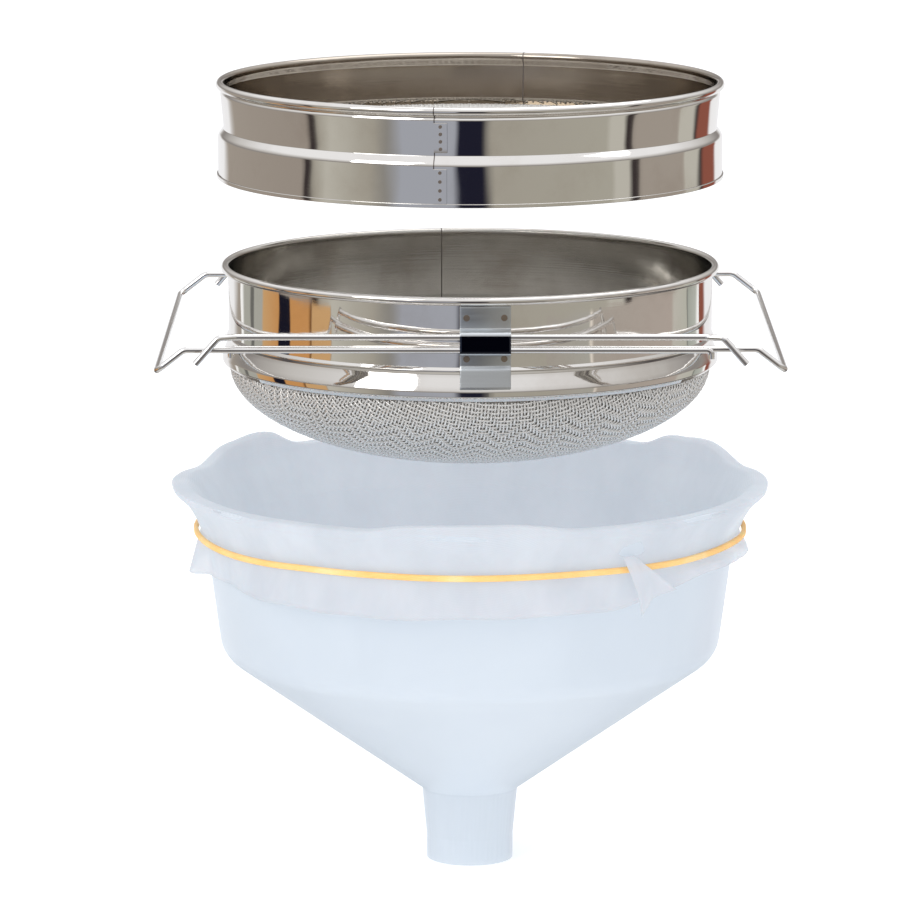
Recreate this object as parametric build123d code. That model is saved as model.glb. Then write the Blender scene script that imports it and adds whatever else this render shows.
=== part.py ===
from build123d import *
import math
import os

# Double sieve strainer: a coarse upper sieve and a fine lower sieve with sliding support arms,
# over a straining funnel that is lined with a filter cloth held by a rubber band.
# Millimetres, +Z up, front is -Y. The origin is the centre of the spout's bottom end.

# ---- driving sizes -----------------------------------------------------------
SIEVE_R = 115.5  # outside of the lower sieve's wall; the funnel and the upper sieve follow it
SHEET = 0.6
FIT = 0.3  # gap between pieces that pass, slide or seat on each other
LOWER_LIFT = 80.8  # how far the lower sieve hangs above its seat on the funnel's lip
UPPER_LIFT = 56.2  # how far the upper sieve hangs above its seat on the lower one

# ---- funnel ----------------------------------------------------------------
FUNNEL_WALL = 2.5
SPOUT_R = 20.8  # outside radius of the straight end of the spout
SPOUT_LAND = 12.0  # length of the straight end
NECK_R = 23.1
NECK_Z = 35.0
CONE_TALL = 68.5
TUB_TALL = 56.5
COLLAR_TALL = 24.0
TUB_FOOT_ROOM = 3.9  # the tub's outside beyond the sieve's wall, at its foot
TUB_TOP_ROOM = 11.5  # and under the collar
TUB_CORNER = 14.0
COLLAR_FLARE = 8.5
LIP_TURN = 3.0  # how far the lip turns outward past the collar

# ---- filter cloth and rubber band -------------------------------------------
CLOTH = 1.0
CLOTH_GAP = 0.3  # cloth to funnel
BAG_SINK = 4.5  # the bag's bottom below the tub's foot
BAG_FLAT_R = 60.0  # the bag's bottom is level out to here
BAG_FOOT_RISE = 8.5
HEM_BELOW_BAND = 19.0
HEM_IN = 4.5  # the hem's radius inside the lip's
BAND_RISE = 3.0  # the band above the collar's foot
BAND_TALL = 3.0
BAND_THICK = 2.4
BAND_CORNER = 0.6

# ---- rims, seams and welds of both sieves -----------------------------------
RIM_WIRE_R = 1.35
ROLL_START = 180.0  # the sheet comes up the inside of the rim wire
ROLL_TURN = 300.0
LAP = 6.0  # width of a lap seam
WELD_THICK = 0.3
SEAM_WELD_R = 0.8
LOWER_SEAM_WELDS = 5
UPPER_SEAM_WELDS = 4  # on the tapering wall, and again on the skirt

# ---- lower sieve, drops are below its rim --------------------------------------
LOWER_DROP = 48.5  # foot of the wall
BEAD_RISE = 14.0  # bead, groove and bulge are above the foot
BEAD_PROUD = 0.7
GROOVE_RISE = 12.4  # the wall flares from here down to the bulge
BULGE_RISE = 4.6
BULGE_PROUD = 2.8
FOOT_PROUD = 0.2
BOWL_DEPTH = 45.0
BOWL_THICK = 0.8  # the woven wire's metal spread out as an even skin
BOWL_FLANGE = 5.0
CLAMP_TALL = 4.4
CLAMP_THICK = 0.7
LOWER_FRONT_SEAM_X = 8.0
LOWER_BACK_SEAM_X = -11.0

# ---- rails, arms and brackets -------------------------------------------------
ROD_R = 1.5
LEG_RISE = 24.9  # legs above the foot of the wall
ROD_PITCH = 6.0  # rail above the legs
LEG_GAP = 1.8  # inner leg to the wall
RAIL_IN = 7.5  # half the straight rail is this much shorter than the wall's radius
RAIL_JOG = 7.5
HOOK_OUT = 10.5
HOOK_DOWN = 12.0
LEG_END_IN = 5.5  # a leg ends this far short of the rail's bend
STOP_DOWN = 4.0
ARM_ROOM = 2.7  # cloth over the lip to the lowered crosspiece
ARM_RUN = 12.5
ARM_DOWN = 9.7
BRACKET_WIDE = 23.5
BRACKET_SHEET = 0.8
BRACKET_TOP_DROP = 4.4
BRACKET_FOOT_RISE = 6.0
FRONT_BRACKET_X = 6.6
BACK_BRACKET_X = 4.4
BRACKET_WELD_SIDE = 8.6
BRACKET_WELD_R = 1.5

# ---- upper sieve, drops are below its rim ----------------------------------------
SKIRT_FIT = 0.5  # skirt to the lower sieve's rolled rim
NECK_IN = 2.4  # neck, top and waist of the wall inside the skirt's radius
TOP_IN = 1.2
WAIST_IN = 2.7
NECK_DROP = 3.6
TOP_DROP = 6.0
WAIST_DROP = 22.6
SHOULDER_DROP = 26.0
SKIRT_TALL = 20.0
HEM_TALL = 1.8
HEM_PROUD = 0.6
UPPER_MESH_THICK = 0.6  # the woven wire's metal spread out as an even skin
UPPER_MESH_IN = 1.2  # mesh edge to the inside of the skirt
UPPER_CLAMP_WIDE = 2.6
UPPER_CLAMP_TALL = 1.7
UPPER_FRONT_SEAM_X = -14.0
UPPER_BACK_SEAM_X = 24.0

# ---- worked out: funnel and cloth ---------------------------------------------------
TUB_FOOT_R = SIEVE_R + TUB_FOOT_ROOM
TUB_TOP_R = SIEVE_R + TUB_TOP_ROOM
LIP_R = TUB_TOP_R + COLLAR_FLARE + LIP_TURN
TUB_Z = NECK_Z + CONE_TALL
COLLAR_Z = TUB_Z + TUB_TALL
LIP_Z = COLLAR_Z + COLLAR_TALL
CLOTH_TOP_Z = LIP_Z + CLOTH_GAP + CLOTH
CLOTH_R = LIP_R + CLOTH_GAP + CLOTH
BAND_Z = COLLAR_Z + BAND_RISE

# ---- worked out: lower sieve and arms -------------------------------------------------
ROLL_R = RIM_WIRE_R + SHEET  # radius of a rolled rim's section
LEG_DROP = LOWER_DROP - LEG_RISE
RAIL_DROP = LEG_DROP - ROD_PITCH
LOWER_RIM_Z = CLOTH_TOP_Z + FIT + ROD_R + LEG_DROP + LOWER_LIFT
RAIL_Z = LOWER_RIM_Z - RAIL_DROP
LEG_Z = LOWER_RIM_Z - LEG_DROP
LOWER_FOOT_Z = LOWER_RIM_Z - LOWER_DROP
LOWER_ROLL_R = SIEVE_R - SHEET / 2 + RIM_WIRE_R + SHEET / 2
BULGE_R = SIEVE_R + BULGE_PROUD
BOWL_R = SIEVE_R - SHEET
INNER_LEG_Y = SIEVE_R + LEG_GAP + ROD_R
OUTER_LEG_Y = INNER_LEG_Y + 2 * ROD_R + FIT
HOOK_Y = OUTER_LEG_Y + 2 * ROD_R + FIT
RAIL_STRAIGHT = SIEVE_R - RAIL_IN
RAIL_BEND_X = RAIL_STRAIGHT + RAIL_JOG
LEG_END_X = RAIL_BEND_X - LEG_END_IN
ARM_X = CLOTH_R + ARM_ROOM + ROD_R
LEG_BEND_X = ARM_X - ARM_RUN
STRAP_TOP_Z = RAIL_Z + ROD_R + FIT + BRACKET_SHEET
STRAP_FOOT_Z = LEG_Z - ROD_R - FIT - BRACKET_SHEET

# ---- worked out: upper sieve --------------------------------------------------------------
SKIRT_R = LOWER_ROLL_R + ROLL_R + SKIRT_FIT + SHEET  # outside, passing over the lower rim
UPPER_NECK_R = SKIRT_R - NECK_IN
UPPER_TOP_R = SKIRT_R - TOP_IN
UPPER_WAIST_R = SKIRT_R - WAIST_IN
UPPER_ROLL_R = UPPER_NECK_R + RIM_WIRE_R
UPPER_DROP = SHOULDER_DROP + SKIRT_TALL
UPPER_CLAMP_FOOT_DROP = SHOULDER_DROP + UPPER_MESH_THICK / 2 + UPPER_CLAMP_TALL
SKIRT_SEAT = STRAP_TOP_Z + FIT + UPPER_DROP  # its rim's height if the skirt meets the straps
CLAMP_SEAT = LOWER_RIM_Z + FIT + UPPER_CLAMP_FOOT_DROP  # or if its clamp ring meets the rim
UPPER_RIM_Z = max(SKIRT_SEAT, CLAMP_SEAT) + UPPER_LIFT
UPPER_FOOT_Z = UPPER_RIM_Z - UPPER_DROP
FRONT, BACK = 270.0, 90.0  # directions about Z


def turned(outline, start=0.0, arc=360.0):
    """A solid turned about the upright axis from a closed outline of (radius, height)."""
    face = Plane.XZ * make_face(outline)
    return revolve(face, Axis.Z, arc).rotate(Axis.Z, start)


def sheet_ring(line, thickness, start=0.0, arc=360.0):
    """Sheet of even thickness turned about the upright axis, from the line of its middle."""
    face = Plane.XZ * trace(line, thickness)
    return revolve(face, Axis.Z, arc).rotate(Axis.Z, start)


def rod(points, radii):
    """A round rod bent along a route, with a bend radius at each corner."""
    route = FilletPolyline(*points, radius=radii)
    end = Plane(origin=route @ 0, z_dir=route % 0)
    return sweep(end * Circle(ROD_R), path=route)


def seam_angle(x, radius, side):
    """Direction about Z of a seam that stands at x on the front or the back of a wall."""
    turn = math.degrees(math.asin(x / radius))
    return side + turn if side == FRONT else side - turn


def rim_wire(centre_r, top_z):
    """The wire that a rolled rim is formed on."""
    return Pos(0, 0, top_z - ROLL_R) * Torus(centre_r, RIM_WIRE_R)


def rim_roll(centre_r, top_z):
    """Middle line of the sheet round a rim wire, from the inside over the top."""
    return CenterArc((centre_r, top_z - ROLL_R), ROLL_R - SHEET / 2, ROLL_START, -ROLL_TURN)


def lap_tongue(line, start, arc):
    """The stretch of a wall's end that laps over the outside of the wall it is welded to."""
    (top_r, top_z), (foot_r, foot_z) = line
    outline = Polyline(
        (top_r, top_z),
        (top_r + SHEET, top_z),
        (foot_r + SHEET, foot_z),
        (foot_r, foot_z),
        close=True,
    )
    return turned(outline, start, arc)


def evenly_down(top_z, foot_z, count):
    """Heights of a row of spots, evenly spaced between the top and the foot of a seam."""
    pitch = (top_z - foot_z) / count
    return [top_z - pitch * (i + 0.5) for i in range(count)]


def disc_on_wall(angle, radius, z, disc_r):
    """A flat weld spot on the outside of a wall."""
    spot = Cylinder(disc_r, WELD_THICK, align=(Align.CENTER, Align.CENTER, Align.MIN))
    return Rot(0, 0, angle) * Pos(radius, 0, z) * Rot(0, 90, 0) * spot


# ---- funnel, cloth and band ---------------------------------------------------------


def collar_r(z):
    """Outside radius of the flared collar at a height."""
    return TUB_TOP_R + COLLAR_FLARE * (z - COLLAR_Z) / COLLAR_TALL


def make_funnel():
    wall = FUNNEL_WALL
    outline = FilletPolyline(
        (SPOUT_R - wall, 0),
        (SPOUT_R, 0),
        (SPOUT_R, SPOUT_LAND),
        (NECK_R, NECK_Z),
        (TUB_FOOT_R, TUB_Z),
        (TUB_TOP_R, COLLAR_Z),
        (LIP_R - LIP_TURN, LIP_Z - wall),
        (LIP_R, LIP_Z - wall),
        (LIP_R, LIP_Z),
        (LIP_R - LIP_TURN - wall, LIP_Z),
        (TUB_TOP_R - wall, COLLAR_Z + 0.5),
        (TUB_FOOT_R - wall, TUB_Z + 1.5),
        (NECK_R - wall, NECK_Z + 1.5),
        (SPOUT_R - wall, SPOUT_LAND + 1.0),
        close=True,
        radius=[0, 0, 0, 2.0, TUB_CORNER, 6.0, 0.5, 1.0, 1.0, 1.0, 6.0, TUB_CORNER - wall, 3.0, 0],
    )
    return turned(outline)


def make_cloth():
    """The cloth as one even skin: a bag in the tub, over the lip, gathered at the band, and a hem."""
    lining = FUNNEL_WALL + CLOTH_GAP + CLOTH / 2
    outside = CLOTH_GAP + CLOTH / 2
    top_z = LIP_Z + outside
    bottom_z = TUB_Z - BAG_SINK
    line = FilletPolyline(
        (0, bottom_z),
        (BAG_FLAT_R, bottom_z),
        (TUB_FOOT_R - lining - 0.5, TUB_Z + BAG_FOOT_RISE),
        (TUB_TOP_R - lining, COLLAR_Z + 0.5),
        (LIP_R - LIP_TURN - lining, top_z),
        (LIP_R + outside, top_z),
        (LIP_R + outside, LIP_Z - FUNNEL_WALL),
        (collar_r(BAND_Z) + outside + 0.2, BAND_Z + 1.0),
        (LIP_R - HEM_IN, BAND_Z - HEM_BELOW_BAND),
        radius=[60.0, 8.0, 6.0, 1.2, 1.2, 2.0, 5.0],
    )
    return sheet_ring(line, CLOTH)


def make_band():
    inner = collar_r(BAND_Z) + CLOTH + 2 * CLOTH_GAP + 0.9
    strip = Rectangle(BAND_THICK, BAND_TALL)
    section = chamfer(strip.vertices(), BAND_CORNER)
    return revolve(Plane.XZ * Pos(inner + BAND_THICK / 2, BAND_Z) * section, Axis.Z)


# ---- lower sieve -----------------------------------------------------------------------

LOWER_FRONT_SEAM = seam_angle(LOWER_FRONT_SEAM_X, SIEVE_R, FRONT)
LOWER_BACK_SEAM = seam_angle(LOWER_BACK_SEAM_X, SIEVE_R, BACK)
LOWER_LAP_TOP_Z = LOWER_RIM_Z - 2 * ROLL_R - FIT
LOWER_LAP_FOOT_Z = LOWER_FOOT_Z + BEAD_RISE + 2.0


def lower_wall_line():
    """Middle line of the lower wall: rolled rim, straight wall, bead, groove, bulge and foot."""
    half = SHEET / 2
    middle = SIEVE_R - half
    bead_z = LOWER_FOOT_Z + BEAD_RISE
    roll = rim_roll(LOWER_ROLL_R, LOWER_RIM_Z)
    wall = FilletPolyline(
        (middle, LOWER_RIM_Z - ROLL_R),
        (middle, bead_z + 1.4),
        (middle + BEAD_PROUD, bead_z),
        (middle, LOWER_FOOT_Z + GROOVE_RISE),
        (BULGE_R - half, LOWER_FOOT_Z + BULGE_RISE),
        (BULGE_R - half - 0.3, LOWER_FOOT_Z + BULGE_RISE / 2),
        (SIEVE_R + FOOT_PROUD - half, LOWER_FOOT_Z),
        radius=[0.5, 0.5, 0.4, 1.6, 1.6],
    )
    return roll + wall


def make_lower_wall(start, arc):
    return sheet_ring(lower_wall_line(), SHEET, start, arc)


def make_lower_left_wall():
    arc = LOWER_FRONT_SEAM - LOWER_BACK_SEAM
    return make_lower_wall(LOWER_BACK_SEAM, arc)


def make_lower_right_wall():
    arc = LOWER_BACK_SEAM + 360 - LOWER_FRONT_SEAM
    wall = make_lower_wall(LOWER_FRONT_SEAM, arc)
    wide = math.degrees(LAP / SIEVE_R)
    lap = [(SIEVE_R, LOWER_LAP_TOP_Z), (SIEVE_R, LOWER_LAP_FOOT_Z)]
    tongue = lap_tongue(lap, LOWER_BACK_SEAM - wide / 2, wide)
    return wall + tongue


def make_lower_clamp():
    """Ring inside the foot of the wall that holds the mesh's edge."""
    outer = BOWL_R - BOWL_THICK
    top_z = LOWER_FOOT_Z + CLAMP_TALL
    outline = FilletPolyline(
        (outer - CLAMP_THICK, top_z - CLAMP_TALL),
        (outer, top_z - CLAMP_TALL),
        (outer, top_z),
        (outer - CLAMP_THICK, top_z),
        close=True,
        radius=0.2,
    )
    return turned(outline)


def make_mesh_bowl():
    """The dished fine mesh: an elliptic bowl with an upright edge that is clamped in the wall."""
    edge_z = LOWER_FOOT_Z
    outer = EllipticalCenterArc((0, edge_z), BOWL_R, BOWL_DEPTH, 270, arc_size=90)
    inner_r = BOWL_R - BOWL_THICK
    inner = EllipticalCenterArc((0, edge_z), inner_r, BOWL_DEPTH - BOWL_THICK, 270, arc_size=90)
    flange = Polyline(
        (BOWL_R, edge_z),
        (BOWL_R, edge_z + BOWL_FLANGE),
        (inner_r, edge_z + BOWL_FLANGE),
        (inner_r, edge_z),
    )
    axis = Line((0, edge_z - BOWL_DEPTH), (0, edge_z - BOWL_DEPTH + BOWL_THICK))
    return turned(outer + flange + inner + axis)


def make_bracket(x, side):
    """Strap bracket: two tabs curved to the wall, and a strap that stands off over the rods."""
    half = BRACKET_SHEET / 2
    half_turn = math.degrees(BRACKET_WIDE / 2 / SIEVE_R)
    angle = seam_angle(x, SIEVE_R, side)
    middle = SIEVE_R + half
    bead_z = LOWER_FOOT_Z + BEAD_RISE
    bead_r = SIEVE_R + BEAD_PROUD + half + 0.1
    flare = BULGE_PROUD * (GROOVE_RISE - BRACKET_FOOT_RISE) / (GROOVE_RISE - BULGE_RISE)
    foot_r = SIEVE_R + flare + half + 0.3
    foot_z = LOWER_FOOT_Z + BRACKET_FOOT_RISE
    upper = Line((middle, LOWER_RIM_Z - BRACKET_TOP_DROP), (middle, STRAP_TOP_Z - BRACKET_SHEET))
    lower = FilletPolyline(
        (middle, STRAP_FOOT_Z + BRACKET_SHEET),
        (middle, bead_z + 2.4),
        (bead_r, bead_z + 0.6),
        (foot_r, foot_z),
        radius=[1.0, 1.0],
    )
    tabs = [
        sheet_ring(line, BRACKET_SHEET, angle - half_turn, 2 * half_turn)
        for line in (upper, lower)
    ]
    sign = -1 if side == FRONT else 1
    root_y = sign * (SIEVE_R - 1.0)
    strap_y = sign * (OUTER_LEG_Y + ROD_R + FIT + half)
    strap_line = FilletPolyline(
        (root_y, STRAP_TOP_Z - half),
        (strap_y, STRAP_TOP_Z - half),
        (strap_y, STRAP_FOOT_Z + half),
        (root_y, STRAP_FOOT_Z + half),
        radius=[ROD_R, ROD_R + FIT + half - 0.2],
    )
    face = Plane.YZ * trace(strap_line, BRACKET_SHEET)
    strap = Pos(x - BRACKET_WIDE / 2, 0, 0) * extrude(face, BRACKET_WIDE, dir=(1, 0, 0))
    bore = Pos(0, 0, LEG_Z) * Cylinder(SIEVE_R, 2 * LOWER_DROP)
    return tabs[0] + (strap - bore) + tabs[1]


def make_bracket_welds(x, side):
    """Four resistance welds, two on each tab."""
    angle = seam_angle(x, SIEVE_R, side)
    turn = math.degrees(BRACKET_WELD_SIDE / SIEVE_R)
    face_r = SIEVE_R + BRACKET_SHEET + 0.02
    top_z = (LOWER_RIM_Z - BRACKET_TOP_DROP + STRAP_TOP_Z) / 2
    foot_z = STRAP_FOOT_Z - BRACKET_WELD_R - 1.0
    spots = [
        disc_on_wall(angle + way * turn, face_r, z, BRACKET_WELD_R)
        for way in (-1, 1)
        for z in (top_z, foot_z)
    ]
    return Compound(children=spots)


def make_rail(side):
    """Guide rail along the front or back, its ends hooked down outside the legs."""
    sign = -1 if side == FRONT else 1
    half = [
        (RAIL_BEND_X + HOOK_OUT, sign * HOOK_Y, RAIL_Z - HOOK_DOWN),
        (RAIL_BEND_X, sign * HOOK_Y, RAIL_Z),
        (RAIL_STRAIGHT, sign * OUTER_LEG_Y, RAIL_Z),
    ]
    other = [(-px, py, pz) for px, py, pz in reversed(half)]
    return rod(half + other, [3.0, 6.0, 6.0, 3.0])


def make_left_arm():
    """A U of rod: two legs that run side by side with the other arm's, and a dropped crosspiece."""
    front, back = -OUTER_LEG_Y, INNER_LEG_Y
    low = LEG_Z - ARM_DOWN
    points = [
        (LEG_END_X, front, LEG_Z - STOP_DOWN),
        (LEG_END_X, front, LEG_Z),
        (-LEG_BEND_X, front, LEG_Z),
        (-ARM_X, front, low),
        (-ARM_X, back, low),
        (-LEG_BEND_X, back, LEG_Z),
        (LEG_END_X, back, LEG_Z),
        (LEG_END_X, back, LEG_Z - STOP_DOWN),
    ]
    return rod(points, [2.2, 5.0, 4.0, 4.0, 5.0, 2.2])


def make_right_arm():
    return make_left_arm().rotate(Axis.Z, 180)


def make_lower_seam_welds():
    """Weld spots down the lap seam at the back."""
    spots = [
        disc_on_wall(LOWER_BACK_SEAM, SIEVE_R + SHEET + 0.02, z, SEAM_WELD_R)
        for z in evenly_down(LOWER_LAP_TOP_Z, LOWER_LAP_FOOT_Z, LOWER_SEAM_WELDS)
    ]
    return Compound(children=spots)


# ---- upper sieve --------------------------------------------------------------------------

UPPER_FRONT_SEAM = seam_angle(UPPER_FRONT_SEAM_X, UPPER_TOP_R, FRONT)
UPPER_BACK_SEAM = seam_angle(UPPER_BACK_SEAM_X, UPPER_TOP_R, BACK)
UPPER_LAP_TOP_Z = UPPER_RIM_Z - TOP_DROP - 1.2
UPPER_LAP_FOOT_Z = UPPER_RIM_Z - WAIST_DROP + 1.6
SKIRT_LAP_TOP_Z = UPPER_RIM_Z - SHOULDER_DROP - 1.8


def upper_wall_r(z):
    """Outside radius of the tapering upper wall, between its top and its waist."""
    fall = WAIST_DROP - TOP_DROP
    narrowing = WAIST_IN - TOP_IN
    middle = UPPER_TOP_R - SHEET / 2 - narrowing * (UPPER_RIM_Z - TOP_DROP - z) / fall
    return middle + SHEET / 2 / math.cos(math.atan(narrowing / fall))


def upper_wall_line():
    """Middle line of the upper wall: rolled rim, tapering wall, waist, shoulder and skirt."""
    half = SHEET / 2
    roll = rim_roll(UPPER_ROLL_R, UPPER_RIM_Z)
    wall = FilletPolyline(
        (UPPER_NECK_R - half, UPPER_RIM_Z - ROLL_R),
        (UPPER_NECK_R - half, UPPER_RIM_Z - NECK_DROP),
        (UPPER_TOP_R - half, UPPER_RIM_Z - TOP_DROP),
        (UPPER_WAIST_R - half, UPPER_RIM_Z - WAIST_DROP),
        (SKIRT_R - half, UPPER_RIM_Z - SHOULDER_DROP),
        (SKIRT_R - half, UPPER_FOOT_Z),
        radius=[1.2, 1.2, 0.7, 1.6],
    )
    return roll + wall


def upper_half(start, arc):
    """Half of the upper wall, with its folded hem and the lap tongue at its starting end."""
    wall = sheet_ring(upper_wall_line(), SHEET, start, arc)
    hem_z = UPPER_FOOT_Z + HEM_TALL
    hem_outline = Polyline(
        (SKIRT_R - SHEET / 2, UPPER_FOOT_Z),
        (SKIRT_R + HEM_PROUD, UPPER_FOOT_Z),
        (SKIRT_R + HEM_PROUD, hem_z),
        (SKIRT_R - SHEET / 2, hem_z),
        close=True,
    )
    hem = turned(hem_outline, start, arc)
    wide = math.degrees(LAP / SKIRT_R)
    taper = [(upper_wall_r(z), z) for z in (UPPER_LAP_TOP_Z, UPPER_LAP_FOOT_Z)]
    skirt = [(SKIRT_R, SKIRT_LAP_TOP_Z), (SKIRT_R, hem_z)]
    tongues = [lap_tongue(line, start - wide / 2, wide) for line in (taper, skirt)]
    return wall + hem + tongues[0] + tongues[1]


def make_upper_left_wall():
    return upper_half(UPPER_BACK_SEAM, UPPER_FRONT_SEAM - UPPER_BACK_SEAM)


def make_upper_right_wall():
    return upper_half(UPPER_FRONT_SEAM, UPPER_BACK_SEAM + 360 - UPPER_FRONT_SEAM)


def make_upper_mesh():
    """Flat coarse mesh across the waist."""
    z = UPPER_RIM_Z - SHOULDER_DROP
    return Pos(0, 0, z) * Cylinder(SKIRT_R - SHEET - UPPER_MESH_IN, UPPER_MESH_THICK)


def make_upper_clamp():
    """Ring under the mesh that presses its edge up against the shoulder."""
    top_z = UPPER_RIM_Z - SHOULDER_DROP - UPPER_MESH_THICK / 2
    outer = SKIRT_R - SHEET - 0.1
    outline = FilletPolyline(
        (outer - UPPER_CLAMP_WIDE, top_z - UPPER_CLAMP_TALL),
        (outer, top_z - UPPER_CLAMP_TALL),
        (outer, top_z),
        (outer - UPPER_CLAMP_WIDE, top_z),
        close=True,
        radius=0.4,
    )
    return turned(outline)


def make_upper_seam_welds():
    """Weld spots down the front and back lap seams."""
    spots = []
    for seam in (UPPER_FRONT_SEAM, UPPER_BACK_SEAM):
        for z in evenly_down(UPPER_LAP_TOP_Z, UPPER_LAP_FOOT_Z, UPPER_SEAM_WELDS):
            spots.append(disc_on_wall(seam, upper_wall_r(z) + SHEET + 0.1, z, SEAM_WELD_R))
        for z in evenly_down(SKIRT_LAP_TOP_Z, UPPER_FOOT_Z + HEM_TALL, UPPER_SEAM_WELDS):
            spots.append(disc_on_wall(seam, SKIRT_R + SHEET + 0.02, z, SEAM_WELD_R))
    return Compound(children=spots)


PARTS = {
    "funnel": make_funnel,
    "filter_cloth": make_cloth,
    "rubber_band": make_band,
    "lower_wall_left": make_lower_left_wall,
    "lower_wall_right": make_lower_right_wall,
    "lower_rim_wire": lambda: rim_wire(LOWER_ROLL_R, LOWER_RIM_Z),
    "lower_clamp_ring": make_lower_clamp,
    "lower_mesh_bowl": make_mesh_bowl,
    "lower_seam_welds": make_lower_seam_welds,
    "front_bracket": lambda: make_bracket(FRONT_BRACKET_X, FRONT),
    "back_bracket": lambda: make_bracket(BACK_BRACKET_X, BACK),
    "front_bracket_welds": lambda: make_bracket_welds(FRONT_BRACKET_X, FRONT),
    "back_bracket_welds": lambda: make_bracket_welds(BACK_BRACKET_X, BACK),
    "front_guide_rail": lambda: make_rail(FRONT),
    "back_guide_rail": lambda: make_rail(BACK),
    "left_arm": make_left_arm,
    "right_arm": make_right_arm,
    "upper_wall_left": make_upper_left_wall,
    "upper_wall_right": make_upper_right_wall,
    "upper_rim_wire": lambda: rim_wire(UPPER_ROLL_R, UPPER_RIM_Z),
    "upper_clamp_ring": make_upper_clamp,
    "upper_mesh": make_upper_mesh,
    "upper_seam_welds": make_upper_seam_welds,
}

os.makedirs("parts", exist_ok=True)
for node, make in PARTS.items():
    export_step(make(), f"parts/{node}.step")
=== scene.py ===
import math
import random

import bpy
import bmesh
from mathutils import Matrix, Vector, noise


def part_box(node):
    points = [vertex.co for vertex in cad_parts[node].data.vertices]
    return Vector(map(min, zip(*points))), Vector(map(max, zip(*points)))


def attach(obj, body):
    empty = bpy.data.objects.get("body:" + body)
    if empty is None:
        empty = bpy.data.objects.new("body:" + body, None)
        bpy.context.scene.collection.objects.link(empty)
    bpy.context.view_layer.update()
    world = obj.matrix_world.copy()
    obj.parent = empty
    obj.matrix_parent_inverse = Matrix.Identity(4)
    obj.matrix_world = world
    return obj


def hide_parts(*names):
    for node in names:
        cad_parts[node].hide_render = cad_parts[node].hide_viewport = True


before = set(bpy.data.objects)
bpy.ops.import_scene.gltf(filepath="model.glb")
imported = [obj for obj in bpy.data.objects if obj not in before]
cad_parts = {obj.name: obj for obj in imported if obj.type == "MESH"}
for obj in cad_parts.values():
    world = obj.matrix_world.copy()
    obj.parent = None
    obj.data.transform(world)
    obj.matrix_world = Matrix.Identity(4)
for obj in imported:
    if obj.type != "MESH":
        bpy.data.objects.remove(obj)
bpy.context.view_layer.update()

# Everything below is drawn in millimetres and made in metres.
MM = 0.001

# ---- sizes of the sheet, wire and funnel, as they are in the frame ---------------------
SHEET = 0.6
RIM_WIRE_R = 1.35
ROLL_R = RIM_WIRE_R + SHEET
SIEVE_R = 115.5
ROD_R = 1.5
LIP_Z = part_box("funnel")[1].z / MM
LOWER_RIM_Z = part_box("lower_wall_left")[1].z / MM
UPPER_RIM_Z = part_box("upper_wall_left")[1].z / MM
ARM_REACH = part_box("right_arm")[1].x / MM
LOWER_DROP = 48.5
LOWER_FOOT_Z = LOWER_RIM_Z - LOWER_DROP
RAIL_Z = LOWER_RIM_Z - 17.6
LEG_Z = LOWER_RIM_Z - 23.6
TUB_FOOT_R, TUB_TOP_R, LIP_R = 119.4, 127.0, 138.5
COLLAR_Z, TUB_Z, NECK_Z = LIP_Z - 24.0, LIP_Z - 80.5, 35.0
BAND_Z = COLLAR_Z + 3.0
SKIRT_R = 119.9
WAIST_DROP, SHOULDER_DROP, UPPER_DROP = 22.6, 26.0, 46.0
BEAD_RISE, GROOVE_RISE, BULGE_RISE = 14.0, 12.4, 4.6
FRONT, BACK = 270.0, 90.0


# ---- lines and outlines ------------------------------------------------------------------
def rounded(points, radii, step=0.2):
    """A line of (radius, height) points whose inner corners are rounded by arcs."""
    line = [Vector(points[0])]
    for before, corner, after, radius in zip(points, points[1:], points[2:], radii):
        a, p, b = Vector(before), Vector(corner), Vector(after)
        d1, d2 = (p - a).normalized(), (b - p).normalized()
        turn = math.acos(max(-1.0, min(1.0, d1.dot(d2))))
        if radius <= 0 or turn < 1e-4:
            line.append(p)
            continue
        side = 1 if d1.cross(d2) > 0 else -1
        reach = radius * math.tan(turn / 2)
        start = p - d1 * reach
        middle = start + Vector((-d1.y, d1.x)) * radius * side
        steps = max(2, math.ceil(turn / step))
        spoke = start - middle
        for i in range(steps + 1):
            angle = side * turn * i / steps
            c, s = math.cos(angle), math.sin(angle)
            line.append(middle + Vector((spoke.x * c - spoke.y * s, spoke.x * s + spoke.y * c)))
    line.append(Vector(points[-1]))
    return line


def arc_line(middle, radius, start, sweep, steps):
    """Points along an arc, in degrees."""
    angles = [math.radians(start + sweep * i / steps) for i in range(steps + 1)]
    return [Vector((middle[0] + radius * math.cos(t), middle[1] + radius * math.sin(t))) for t in angles]


def finely(line, longest=2.0):
    """The same line with its long runs divided."""
    out = [line[0]]
    for a, b in zip(line, line[1:]):
        parts = max(1, math.ceil((b - a).length / longest))
        out += [a + (b - a) * (i / parts) for i in range(1, parts + 1)]
    return [p for i, p in enumerate(out) if i == 0 or (p - out[i - 1]).length > 1e-6]


def both_sides(line, thickness):
    """The closed outline of a sheet whose middle is the line."""
    left, right = [], []
    for i, p in enumerate(line):
        d1 = (p - line[max(i - 1, 0)]).normalized() if i else (line[1] - p).normalized()
        d2 = (line[min(i + 1, len(line) - 1)] - p).normalized() if i < len(line) - 1 else d1
        d = (d1 + d2).normalized()
        spread = thickness / 2 / max(0.5, d.dot(d1))
        side = Vector((-d.y, d.x)) * spread
        left.append(p + side)
        right.append(p - side)
    return left + right[::-1]


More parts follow.
